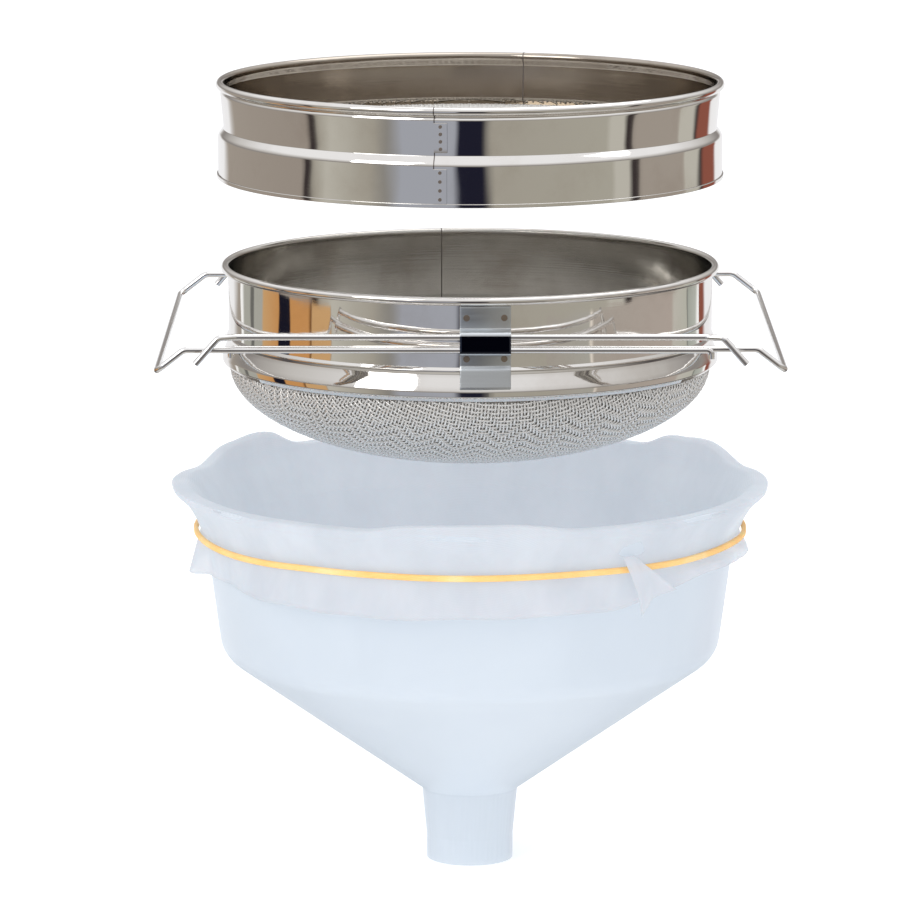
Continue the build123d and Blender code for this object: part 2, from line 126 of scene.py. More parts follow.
# ---- meshes ---------------------------------------------------------------------------------
def piece(name, vertices, faces, materials, sharp=35.0, closed=True):
    """A mesh object from millimetre vertices, welded, facing outwards and smooth."""
    mesh = bpy.data.meshes.new(name)
    mesh.from_pydata([tuple(c * MM for c in v) for v in vertices], [], faces)
    form = bmesh.new()
    form.from_mesh(mesh)
    bmesh.ops.remove_doubles(form, verts=form.verts, dist=1e-7)
    if closed:
        bmesh.ops.recalc_face_normals(form, faces=form.faces)
    form.to_mesh(mesh)
    form.free()
    for material in materials:
        mesh.materials.append(material)
    mesh.shade_smooth()
    mesh.set_sharp_from_angle(angle=math.radians(sharp))
    thing = bpy.data.objects.new(name, mesh)
    bpy.context.scene.collection.objects.link(thing)
    return thing


def turned(name, outline, materials, start=0.0, arc=360.0, around=300, wave=0.0, sharp=35.0):
    """A closed outline of (radius, height) turned about the upright axis, whole or in part."""
    whole = arc > 359.9
    steps = max(3, round(around * arc / 360))
    rings = steps if whole else steps + 1
    count = len(outline)
    vertices = []
    for k in range(rings):
        t = math.radians(start + arc * k / steps)
        c, s = math.cos(t), math.sin(t)
        for p in outline:
            bulge = wave * noise.noise(Vector((c * 5, s * 5, p.y * 0.035))) if wave else 0.0
            bulge += wave * 0.5 * noise.noise(Vector((c * 14, s * 14, 9 + p.y * 0.06))) if wave else 0.0
            vertices.append(((p.x + bulge) * c, (p.x + bulge) * s, p.y))
    faces = []
    for k in range(steps):
        here, there = k * count, ((k + 1) % rings) * count
        for i in range(count):
            j = (i + 1) % count
            faces.append((here + i, there + i, there + j, here + j))
    if not whole:
        faces += [tuple(range(count)), tuple(range((rings - 1) * count, rings * count))]
    return piece(name, vertices, faces, materials, sharp)


def inside_out(thing, slot):
    """Gives the faces that look towards the upright axis another material slot."""
    for face in thing.data.polygons:
        out = Vector((face.center.x, face.center.y, 0)).normalized()
        if face.normal.dot(out) < -0.25:
            face.material_index = slot
    return thing


def rod(name, points, radii, material):
    """Round rod bent along a route given in millimetres, with a bend radius at each corner."""
    path = [Vector(points[0])]
    for before, corner, after, radius in zip(points, points[1:], points[2:], radii):
        a, p, b = Vector(before), Vector(corner), Vector(after)
        d1, d2 = (p - a).normalized(), (b - p).normalized()
        turn = d1.angle(d2)
        reach = radius * math.tan(turn / 2)
        start, end = p - d1 * reach, p + d2 * reach
        middle = p + (d2 - d1).normalized() * (radius / math.cos(turn / 2))
        for i in range(9):
            spoke = (start - middle).slerp(end - middle, i / 8)
            path.append(middle + spoke.normalized() * radius)
    path.append(Vector(points[-1]))
    curve = bpy.data.curves.new(name, "CURVE")
    curve.dimensions = "3D"
    curve.bevel_depth = ROD_R * MM
    curve.bevel_resolution = 6
    curve.use_fill_caps = True
    spline = curve.splines.new("POLY")
    spline.points.add(len(path) - 1)
    for point, place in zip(spline.points, path):
        point.co = (*(place * MM), 1)
    draft = bpy.data.objects.new(name + ".draft", curve)
    bpy.context.scene.collection.objects.link(draft)
    mesh = bpy.data.meshes.new_from_object(draft.evaluated_get(bpy.context.evaluated_depsgraph_get()))
    bpy.data.objects.remove(draft)
    mesh.name = name
    mesh.materials.clear()
    mesh.materials.append(material)
    form = bmesh.new()
    form.from_mesh(mesh)
    bmesh.ops.remove_doubles(form, verts=form.verts, dist=1e-7)
    bmesh.ops.recalc_face_normals(form, faces=form.faces)
    form.to_mesh(mesh)
    form.free()
    mesh.shade_smooth()
    mesh.set_sharp_from_angle(angle=math.radians(50))
    thing = bpy.data.objects.new(name, mesh)
    bpy.context.scene.collection.objects.link(thing)
    return thing


def fitted(thing, body, slot, *nodes):
    """Puts a finished piece on its body and lets it stand for CAD nodes; the name of its finish, slot, is not
    used.
    """
    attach(thing, body)
    if nodes:
        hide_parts(*nodes)
    return thing


# ---- node trees ------------------------------------------------------------------------------
class Tree:
    """A node tree that is written top to bottom: add a node, get a socket, join sockets."""

    def __init__(self, tree):
        self.tree = tree

    def add(self, kind, inputs=None, **settings):
        node = self.tree.nodes.new(kind)
        for key, value in settings.items():
            setattr(node, key, value)
        for key, value in (inputs or {}).items():
            socket = node.inputs[key]
            if isinstance(value, bpy.types.NodeSocket):
                self.tree.links.new(value, socket)
            else:
                socket.default_value = value
        return node

    def math(self, operation, *values, clamp=False):
        node = self.tree.nodes.new("ShaderNodeMath")
        node.operation = operation
        node.use_clamp = clamp
        for socket, value in zip(node.inputs, values):
            if isinstance(value, bpy.types.NodeSocket):
                self.tree.links.new(value, socket)
            else:
                socket.default_value = value
        return node.outputs[0]

    def ramp(self, value, stops, smooth="LINEAR"):
        node = self.add("ShaderNodeValToRGB", {"Fac": value})
        node.color_ramp.interpolation = smooth
        marks = node.color_ramp.elements
        while len(marks) < len(stops):
            marks.new(0.5)
        for mark, (place, colour) in zip(marks, stops):
            mark.position = place
            mark.color = (*colour, 1) if len(colour) == 3 else colour
        return node.outputs["Color"]

    def mix(self, share, a, b, blend="MIX"):
        node = self.add("ShaderNodeMix", data_type="RGBA", blend_type=blend)
        for key, value in ((0, share), (6, a), (7, b)):
            if isinstance(value, bpy.types.NodeSocket):
                self.tree.links.new(value, node.inputs[key])
            else:
                node.inputs[key].default_value = value
        return node.outputs[2]


def shader_group(name, inputs, outputs):
    """An empty shader group with named inputs and outputs, and its two end nodes."""
    group = bpy.data.node_groups.new(name, "ShaderNodeTree")
    kinds = {"colour": "NodeSocketColor", "value": "NodeSocketFloat", "vector": "NodeSocketVector"}
    for label, kind, value in inputs:
        socket = group.interface.new_socket(label, in_out="INPUT", socket_type=kinds[kind])
        socket.default_value = value
    for label, kind in outputs:
        group.interface.new_socket(label, in_out="OUTPUT", socket_type=kinds[kind])
    tree = Tree(group)
    return group, tree, tree.add("NodeGroupInput").outputs, tree.add("NodeGroupOutput")


def round_the_axis(tree, around_scale, height_scale):
    """A place on a turned sheet, as way round and height, so that grain runs round the ring."""
    place = tree.add("ShaderNodeTexCoord").outputs["Object"]
    parts = tree.add("ShaderNodeSeparateXYZ", {0: place}).outputs
    angle = tree.math("ARCTAN2", parts["Y"], parts["X"])
    radius = tree.add("ShaderNodeVectorMath", {0: place}, operation="LENGTH").outputs["Value"]
    around = tree.math("MULTIPLY", angle, around_scale)
    height = tree.math("MULTIPLY", parts["Z"], height_scale)
    deep = tree.math("MULTIPLY", radius, height_scale)
    return tree.add("ShaderNodeCombineXYZ", {0: around, 1: height, 2: deep}).outputs[0]


def make_rolled_grain():
    """Rolled or drawn metal: long fine grain, shallow waves in the sheet, cloudy handling marks."""
    group, tree, given, out = shader_group(
        "rolled_grain",
        [("Metal", "colour", (0.78, 0.76, 0.73, 1)), ("Handled", "colour", (0.5, 0.45, 0.4, 1)),
         ("Handling", "value", 0.3), ("Smoothest", "value", 0.05), ("Roughest", "value", 0.16),
         ("Waves", "value", 0.3), ("Grain", "value", 0.05)],
        [("Color", "colour"), ("Roughness", "value"), ("Normal", "vector")])
    place = tree.add("ShaderNodeTexCoord").outputs["Object"]
    grain_at = round_the_axis(tree, 3.0, 900.0)
    grain = tree.add("ShaderNodeTexNoise", {"Vector": grain_at, "Scale": 1.0, "Detail": 3.0}).outputs["Fac"]
    cloud = tree.add("ShaderNodeTexNoise", {"Vector": place, "Scale": 26.0, "Detail": 5.0, "Roughness": 0.6})
    marks = tree.ramp(cloud.outputs["Fac"], [(0.46, (0, 0, 0)), (0.74, (1, 1, 1))], "EASE")
    swell = tree.add("ShaderNodeTexNoise", {"Vector": place, "Scale": 17.0, "Detail": 1.0}).outputs["Fac"]
    share = tree.math("MULTIPLY", marks, given["Handling"])
    tree.tree.links.new(tree.mix(share, given["Metal"], given["Handled"]), out.inputs["Color"])
    spread = tree.math("SUBTRACT", given["Roughest"], given["Smoothest"])
    uneven = tree.math("ADD", tree.math("MULTIPLY", grain, 0.5), tree.math("MULTIPLY", marks, 0.5))
    rough = tree.math("MULTIPLY", uneven, spread)
    tree.tree.links.new(tree.math("ADD", rough, given["Smoothest"]), out.inputs["Roughness"])
    wavy = tree.add("ShaderNodeBump", {"Strength": given["Waves"], "Distance": 0.0012, "Height": swell})
    fine = tree.add("ShaderNodeBump", {"Strength": given["Grain"], "Distance": 0.00004, "Height": grain,
                                       "Normal": wavy.outputs["Normal"]})
    tree.tree.links.new(fine.outputs["Normal"], out.inputs["Normal"])
    return group


def new_material(name, **constants):
    """A material whose Principled shader has these constants on its own sockets."""
    material = bpy.data.materials.new(name)
    material.use_nodes = True
    tree = Tree(material.node_tree)
    shader = material.node_tree.nodes["Principled BSDF"]
    for key, value in constants.items():
        shader.inputs[key.replace("_", " ")].default_value = value
    return material, tree, shader


ROLLED = make_rolled_grain()


def metal(name, colour, handled, handling, smooth, rough, waves, grain, metallic=1.0):
    """Steel in one of its finishes."""
    material, tree, shader = new_material(name, Metallic=metallic)
    part = tree.add("ShaderNodeGroup", node_tree=ROLLED)
    for key, value in (("Metal", (*colour, 1)), ("Handled", (*handled, 1)), ("Handling", handling),
                       ("Smoothest", smooth), ("Roughest", rough), ("Waves", waves), ("Grain", grain)):
        part.inputs[key].default_value = value
    tree.tree.links.new(part.outputs["Color"], shader.inputs["Base Color"])
    tree.tree.links.new(part.outputs["Roughness"], shader.inputs["Roughness"])
    tree.tree.links.new(part.outputs["Normal"], shader.inputs["Normal"])
    return material


MIRROR = metal("mirror_polished_sheet", (0.86, 0.84, 0.81), (0.62, 0.56, 0.5), 0.3, 0.02, 0.1, 0.22, 0.08)
SATIN = metal("satin_inside_sheet", (0.72, 0.7, 0.66), (0.45, 0.39, 0.33), 0.5, 0.08, 0.24, 0.3, 0.3)
BRIGHT_ROD = metal("bright_drawn_rod", (0.9, 0.89, 0.88), (0.6, 0.55, 0.5), 0.3, 0.06, 0.16, 0.05, 0.1)
PRESSED = metal("dull_pressed_sheet", (0.66, 0.7, 0.73), (0.42, 0.37, 0.32), 0.55, 0.26, 0.45, 0.1, 0.35)
# painted shade: a darker, browner copy of the satin inside sheet for the inside of the upper sieve
SATIN_PAINTED_SHADE = metal("satin_inside_painted_shade", (0.5, 0.45, 0.39), (0.3, 0.25, 0.2), 0.5, 0.06, 0.2, 0.3, 0.3)
# painted reflection: a near-black copy of the polished steel for the bracket strap's face
STRAP_PAINTED_REFLECTION = metal("strap_painted_dark_reflection", (0.06, 0.07, 0.1), (0.12, 0.12, 0.14), 0.3, 0.05, 0.14, 0.1, 0.05)
WIRE = metal("woven_wire", (0.83, 0.82, 0.8), (0.62, 0.6, 0.57), 0.4, 0.24, 0.42, 0.0, 0.1, metallic=0.6)
SEAM = metal("dark_seam_edge", (0.16, 0.14, 0.13), (0.08, 0.07, 0.06), 0.5, 0.3, 0.5, 0.0, 0.2)
WELD = metal("heat_tinted_weld", (0.4, 0.33, 0.27), (0.16, 0.12, 0.1), 0.7, 0.3, 0.5, 0.0, 0.3)

PAINTED_PLASTIC_GLOW = 0.56  # painted glow: emission standing in for daylight that soaks right through the milky plastic
PAINTED_CLOTH_GLOW = 0.66  # painted glow of the thin cloth, standing in for daylight coming through it
# tint of the painted glow on the plastic and the cloth
PAINTED_GLOW_TINT = (0.55, 0.62, 0.69, 1)


def make_funnel_plastic():
    """Milky natural polythene: light soaks into it, with a faint moulding swirl; its emission is a painted glow
    standing in for daylight coming through.
    """
    material, tree, shader = new_material(
        "milky_polythene", Roughness=0.38, Subsurface_Weight=0.5, Subsurface_Scale=0.016, IOR=1.5,
        Emission_Strength=PAINTED_PLASTIC_GLOW)
    shader.inputs["Subsurface Radius"].default_value = (1.0, 1.1, 1.3)
    place = tree.add("ShaderNodeTexCoord").outputs["Object"]
    swirl = tree.add("ShaderNodeTexNoise", {"Vector": place, "Scale": 14.0, "Detail": 3.0, "Distortion": 0.6})
    colour = tree.ramp(swirl.outputs["Fac"], [(0.3, (0.29, 0.305, 0.325)), (0.75, (0.32, 0.335, 0.355))])
    shader.inputs["Emission Color"].default_value = PAINTED_GLOW_TINT
    skin = tree.add("ShaderNodeTexNoise", {"Vector": place, "Scale": 900.0, "Detail": 2.0}).outputs["Fac"]
    bump = tree.add("ShaderNodeBump", {"Strength": 0.08, "Distance": 0.0002, "Height": skin})
    tree.tree.links.new(colour, shader.inputs["Base Color"])
    tree.tree.links.new(bump.outputs["Normal"], shader.inputs["Normal"])
    return material


def make_cloth_material():
    """Fine open straining cloth: a tiny square weave that lets light through, with a painted glow from its
    emission.
    """
    material, tree, shader = new_material(
        "straining_cloth", Roughness=0.75, Sheen_Weight=0.15, Subsurface_Weight=0.15, Subsurface_Scale=0.004,
        Emission_Strength=PAINTED_CLOTH_GLOW)
    uv = tree.add("ShaderNodeTexCoord").outputs["UV"]
    place = tree.add("ShaderNodeSeparateXYZ", {0: uv}).outputs
    threads = []
    for way in ("X", "Y"):
        wave = tree.math("SINE", tree.math("MULTIPLY", place[way], 2 * math.pi * 620))
        threads.append(tree.math("MULTIPLY_ADD", wave, 0.5, 0.5))
    weave = tree.math("MAXIMUM", threads[0], threads[1])
    cloud = tree.add("ShaderNodeTexNoise", {"Vector": uv, "Scale": 9.0, "Detail": 4.0}).outputs["Fac"]
    colour = tree.ramp(cloud, [(0.3, (0.24, 0.25, 0.27)), (0.7, (0.32, 0.33, 0.345))])
    shader.inputs["Emission Color"].default_value = PAINTED_GLOW_TINT
    close = tree.math("MULTIPLY_ADD", weave, 0.06, 0.54)
    alpha = tree.math("ADD", close, tree.math("MULTIPLY", cloud, 0.2), clamp=True)
    bump = tree.add("ShaderNodeBump", {"Strength": 0.06, "Distance": 0.0002, "Height": weave})
    tree.tree.links.new(colour, shader.inputs["Base Color"])
    tree.tree.links.new(alpha, shader.inputs["Alpha"])
    tree.tree.links.new(bump.outputs["Normal"], shader.inputs["Normal"])
    return material


def make_band_material():
    """Natural rubber, a little cloudy and powdery."""
    material, tree, shader = new_material(
        "natural_rubber", Roughness=0.5, Subsurface_Weight=0.2, Subsurface_Scale=0.003)
    place = tree.add("ShaderNodeTexCoord").outputs["Object"]
    cloud = tree.add("ShaderNodeTexNoise", {"Vector": place, "Scale": 45.0, "Detail": 4.0}).outputs["Fac"]
    colour = tree.ramp(cloud, [(0.3, (0.94, 0.52, 0.16)), (0.55, (0.98, 0.62, 0.24)), (0.8, (0.98, 0.74, 0.42))])
    fine = tree.add("ShaderNodeTexNoise", {"Vector": place, "Scale": 700.0, "Detail": 2.0}).outputs["Fac"]
    bump = tree.add("ShaderNodeBump", {"Strength": 0.2, "Distance": 0.0002, "Height": fine})
    tree.tree.links.new(colour, shader.inputs["Base Color"])
    tree.tree.links.new(bump.outputs["Normal"], shader.inputs["Normal"])
    return material


PLASTIC = make_funnel_plastic()
CLOTH = make_cloth_material()
RUBBER = make_band_material()

# ---- funnel ----------------------------------------------------------------------------------
FUNNEL_WALL = 2.5
SPOUT_R, NECK_R = 20.8, 23.1


def make_funnel():
    """The moulding: straight end of the spout, taper, cone, tub, flared collar and turned-out lip."""
    wall = FUNNEL_WALL
    outer = rounded(
        [(SPOUT_R - wall, 0), (SPOUT_R, 0), (SPOUT_R, 12.0), (NECK_R, NECK_Z), (TUB_FOOT_R, TUB_Z),
         (TUB_TOP_R, COLLAR_Z), (LIP_R - 3.0, LIP_Z - wall), (LIP_R, LIP_Z - wall), (LIP_R, LIP_Z)],
        [0.4, 6.0, 2.0, 14.0, 6.0, 0.5, 1.0])
    inner = rounded(
        [(LIP_R, LIP_Z), (LIP_R - 3.0 - wall, LIP_Z), (TUB_TOP_R - wall, COLLAR_Z + 0.5),
         (TUB_FOOT_R - wall, TUB_Z + 1.5), (NECK_R - wall, NECK_Z + 1.5), (SPOUT_R - wall, 13.0),
         (SPOUT_R - wall, 0)],
        [1.0, 6.0, 11.5, 3.0, 3.0])
    outline = finely(outer[:-1] + inner[:-1], 4.0)
    moulding = turned("funnel_moulding", outline, [PLASTIC], wave=0.12)
    return fitted(moulding, "stand", "funnel_plastic", "funnel")


# ---- rings of the two sieves -----------------------------------------------------------------
def rim_roll(centre_r, top_z):
    """The sheet round a rim wire, from its tucked-in edge round the outside to the inside wall."""
    return arc_line((centre_r, top_z - ROLL_R), ROLL_R - SHEET / 2, 180 - 300, 300, 22)


def lower_wall_line():
    half = SHEET / 2
    middle = SIEVE_R - half
    bead_z = LOWER_FOOT_Z + BEAD_RISE
    bulge = SIEVE_R + 2.8 - half
    wall = rounded(
        [(middle, LOWER_RIM_Z - ROLL_R), (middle, bead_z + 1.6), (middle + 0.8, bead_z),
         (middle, LOWER_FOOT_Z + GROOVE_RISE), (bulge, LOWER_FOOT_Z + BULGE_RISE), (bulge, LOWER_FOOT_Z + 2.2),
         (bulge - 1.0, LOWER_FOOT_Z + 1.6), (SIEVE_R + 0.2 - half, LOWER_FOOT_Z)],
        [0.6, 0.8, 0.6, 3.0, 0.5, 0.6])
    return rim_roll(SIEVE_R - half + RIM_WIRE_R + half, LOWER_RIM_Z)[:-1] + wall


def upper_wall_line():
    half = SHEET / 2
    neck = SKIRT_R - 2.4
    wall = rounded(
        [(neck - half, UPPER_RIM_Z - ROLL_R), (neck - half, UPPER_RIM_Z - 3.6),
         (SKIRT_R - 1.2 - half, UPPER_RIM_Z - 6.0), (SKIRT_R - 2.7 - half, UPPER_RIM_Z - WAIST_DROP),
         (SKIRT_R - half, UPPER_RIM_Z - SHOULDER_DROP), (SKIRT_R - half, UPPER_RIM_Z - UPPER_DROP)],
        [1.2, 2.0, 1.0, 4.0], 0.08)
    return rim_roll(neck + RIM_WIRE_R, UPPER_RIM_Z)[:-1] + wall


def seam_angle(x, radius, side):
    """Direction about the axis of a seam that stands at x on the front or the back."""
    turn = math.degrees(math.asin(x / radius))
    return side + turn if side == FRONT else side - turn


LOWER_SEAMS = seam_angle(8.0, SIEVE_R, FRONT), seam_angle(-11.0, SIEVE_R, BACK)
UPPER_SEAMS = seam_angle(-14.0, SKIRT_R - 1.2, FRONT), seam_angle(24.0, SKIRT_R - 1.2, BACK)


def half_rings(stem, line, seams, body, wave, lining):
    """The two halves of a sieve's wall, which meet at a front and a back seam."""
    outline = both_sides(finely(line, 2.5), SHEET)
    front, back = seams
    right = turned(f"{stem}_right_sheet", outline, [MIRROR, lining], front, back + 360 - front, 360, wave)
    left = turned(f"{stem}_left_sheet", outline, [MIRROR, lining], back, front - back, 360, wave)
    for thing, node in ((left, f"{stem}_left"), (right, f"{stem}_right")):
        fitted(inside_out(thing, 1), body, "polished_sheet", node)


def lap(name, top, foot, angle, body):
    """The end of a wall where it laps over the wall it is welded to."""
    wide = math.degrees(6.0 / SIEVE_R)
    outline = rounded([foot, top, (top[0] + SHEET, top[1]), (foot[0] + SHEET, foot[1]), foot], [0, 0.2, 0.2])
    strip = turned(name, finely(outline[:-1], 2.5), [MIRROR], angle - wide / 2, wide, 360)
    return fitted(strip, body, "polished_sheet")


def seam_line(name, line, angle, body):
    """The dark edge of the lapped sheet, all the way down a seam."""
    strip = turned(name, both_sides(finely(line, 2.5), SHEET + 0.35), [SEAM], angle - 0.11, 0.22, 360)
    return fitted(strip, body, "polished_sheet")


def make_lower_walls():
    half_rings("lower_wall", lower_wall_line(), LOWER_SEAMS, "lower_sieve", 0.1, SATIN)
    top_z = LOWER_RIM_Z - 2 * ROLL_R - 0.3
    seam_line("lower_back_seam_edge", lower_wall_line(), LOWER_SEAMS[1] + 1.4, "lower_sieve")
    foot_z = LOWER_FOOT_Z + BEAD_RISE + 2.0
    lap("lower_back_lap", (SIEVE_R, top_z), (SIEVE_R, foot_z), LOWER_SEAMS[1], "lower_sieve")


def make_upper_walls():
    # the upper sieve's inside gets the painted-shade copy of the satin sheet
    half_rings("upper_wall", upper_wall_line(), UPPER_SEAMS, "upper_sieve", 0.1, SATIN_PAINTED_SHADE)
    foot_z = UPPER_RIM_Z - UPPER_DROP
    hem = rounded(
        [(SKIRT_R, foot_z + 1.8), (SKIRT_R, foot_z), (SKIRT_R + 0.6, foot_z), (SKIRT_R + 0.6, foot_z + 1.8),
         (SKIRT_R, foot_z + 1.8)], [0, 0.25, 0.25])
    band = turned("upper_folded_hem", hem[:-1], [MIRROR], around=360)
    fitted(band, "upper_sieve", "polished_sheet")
    for side, angle in zip(("front", "back"), UPPER_SEAMS):
        seam_line(f"upper_{side}_seam_edge", upper_wall_line(), angle - 1.4, "upper_sieve")
        taper = (SKIRT_R - 1.25, UPPER_RIM_Z - 7.2), (SKIRT_R - 2.5, UPPER_RIM_Z - WAIST_DROP + 1.6)
        lap(f"upper_{side}_lap_high", *taper, angle, "upper_sieve")
        skirt = (SKIRT_R, UPPER_RIM_Z - SHOULDER_DROP - 2.2), (SKIRT_R, foot_z + 1.8)
        lap(f"upper_{side}_lap_low", *skirt, angle, "upper_sieve")


# ---- rods, rails and brackets ----------------------------------------------------------------
FIT = 0.3
INNER_LEG_Y = SIEVE_R + 1.8 + ROD_R
OUTER_LEG_Y = INNER_LEG_Y + 2 * ROD_R + FIT
HOOK_Y = OUTER_LEG_Y + 2 * ROD_R + FIT
RAIL_STRAIGHT = SIEVE_R - 7.5
RAIL_BEND_X = RAIL_STRAIGHT + 7.5


def make_rail(side, sign):
    """Guide rail along the front or the back, its ends hooked down outside the legs."""
    half = [(RAIL_BEND_X + 10.5, sign * HOOK_Y, RAIL_Z - 12.0), (RAIL_BEND_X, sign * HOOK_Y, RAIL_Z),
            (RAIL_STRAIGHT, sign * OUTER_LEG_Y, RAIL_Z)]
    other = [(-x, y, z) for x, y, z in reversed(half)]
    rail = rod(f"{side}_rail_rod", half + other, [3.0, 6.0, 6.0, 3.0], BRIGHT_ROD)
    return fitted(rail, "lower_sieve", "bright_rod", f"{side}_guide_rail")


def make_arm(side, turn):
    """A U of rod: two legs, each with a short stop at its end, and a dropped crosspiece."""
    leg_end = RAIL_BEND_X - 5.5
    arm_x = ARM_REACH - ROD_R
    bend_x = arm_x - 12.5
    front, back, low = -OUTER_LEG_Y, INNER_LEG_Y, LEG_Z - 9.7
    points = [(leg_end, front, LEG_Z - 4.0), (leg_end, front, LEG_Z), (-bend_x, front, LEG_Z),
              (-arm_x, front, low), (-arm_x, back, low), (-bend_x, back, LEG_Z),
              (leg_end, back, LEG_Z), (leg_end, back, LEG_Z - 4.0)]
    points = [(turn * x, turn * y, z) for x, y, z in points]
    arm = rod(f"{side}_arm_rod", points, [2.2, 5.0, 4.0, 4.0, 5.0, 2.2], BRIGHT_ROD)
    return fitted(arm, f"{side}_arm", "bright_rod", f"{side}_arm")


BRACKET_SHEET = 0.8
STRAP_TOP_Z = RAIL_Z + ROD_R + FIT + BRACKET_SHEET
STRAP_FOOT_Z = LEG_Z - ROD_R - FIT - BRACKET_SHEET


def make_bracket(side, x_middle, sign):
    """One pressed strip: a tab curved to the wall, a strap standing off over the rods, a lower tab."""
    half = BRACKET_SHEET / 2
    on_wall = SIEVE_R + half
    strap_y = OUTER_LEG_Y + ROD_R + FIT + half
    bead_z = LOWER_FOOT_Z + BEAD_RISE
    foot_z = LOWER_FOOT_Z + 6.0
    flare_r = SIEVE_R + 2.8 * (GROOVE_RISE - 6.0) / (GROOVE_RISE - BULGE_RISE)
    line = rounded(
        [(on_wall, LOWER_RIM_Z - 4.4), (on_wall, STRAP_TOP_Z - half), (strap_y, STRAP_TOP_Z - half),
         (strap_y, STRAP_FOOT_Z + half), (on_wall, STRAP_FOOT_Z + half), (on_wall, bead_z + 2.4),
         (SIEVE_R + 0.8 + half + 0.1, bead_z + 0.6), (flare_r + half + 0.3, foot_z)],
        [1.0, 1.5, 1.9, 1.0, 1.0, 1.0], 0.3)
    line = finely(line, 1.2)
    across, wide = 24, 23.5
    vertices, faces = [], []
    for p in line:
        curved = 1.0  # how far the strip follows the wall's curve: the strap itself is flat
        if STRAP_FOOT_Z < p.y < STRAP_TOP_Z:
            curved = 1 - min(1.0, max(0.0, (p.x - on_wall - 3.2) / 2.0))
        for i in range(across + 1):
            x = x_middle + wide * (i / across - 0.5)
            flat = math.sqrt(SIEVE_R ** 2 - x * x) - SIEVE_R
            vertices.append((x, sign * (p.x + flat * curved), p.y))
    for row in range(len(line) - 1):
        for i in range(across):
            a = row * (across + 1) + i
            faces.append((a, a + 1, a + across + 2, a + across + 1))
    strip = piece(f"{side}_strap_bracket", vertices, faces, [PRESSED, STRAP_PAINTED_REFLECTION], closed=False)
    for face in strip.data.polygons:  # painted reflection: the strap's face gets a near-black copy of the steel, so it is darker than its bends and tabs
        middle_z = face.center.z / MM
        if abs(face.center.y) / MM > strap_y - 0.3 and STRAP_FOOT_Z + 0.9 < middle_z < STRAP_TOP_Z - 2.0:
            face.material_index = 1
    outward = strip.data.polygons[len(strip.data.polygons) // 2 - across // 2].normal.y * sign
    if outward < 0:
        strip.data.flip_normals()
    sheet = strip.modifiers.new("sheet", "SOLIDIFY")
    sheet.thickness = BRACKET_SHEET * MM
    sheet.offset = 0.0
    edge = strip.modifiers.new("edge", "BEVEL")
    edge.width = 0.2 * MM
    edge.segments = 2
    edge.limit_method = "ANGLE"
    return fitted(strip, "lower_sieve", "bracket_steel", f"{side}_bracket")


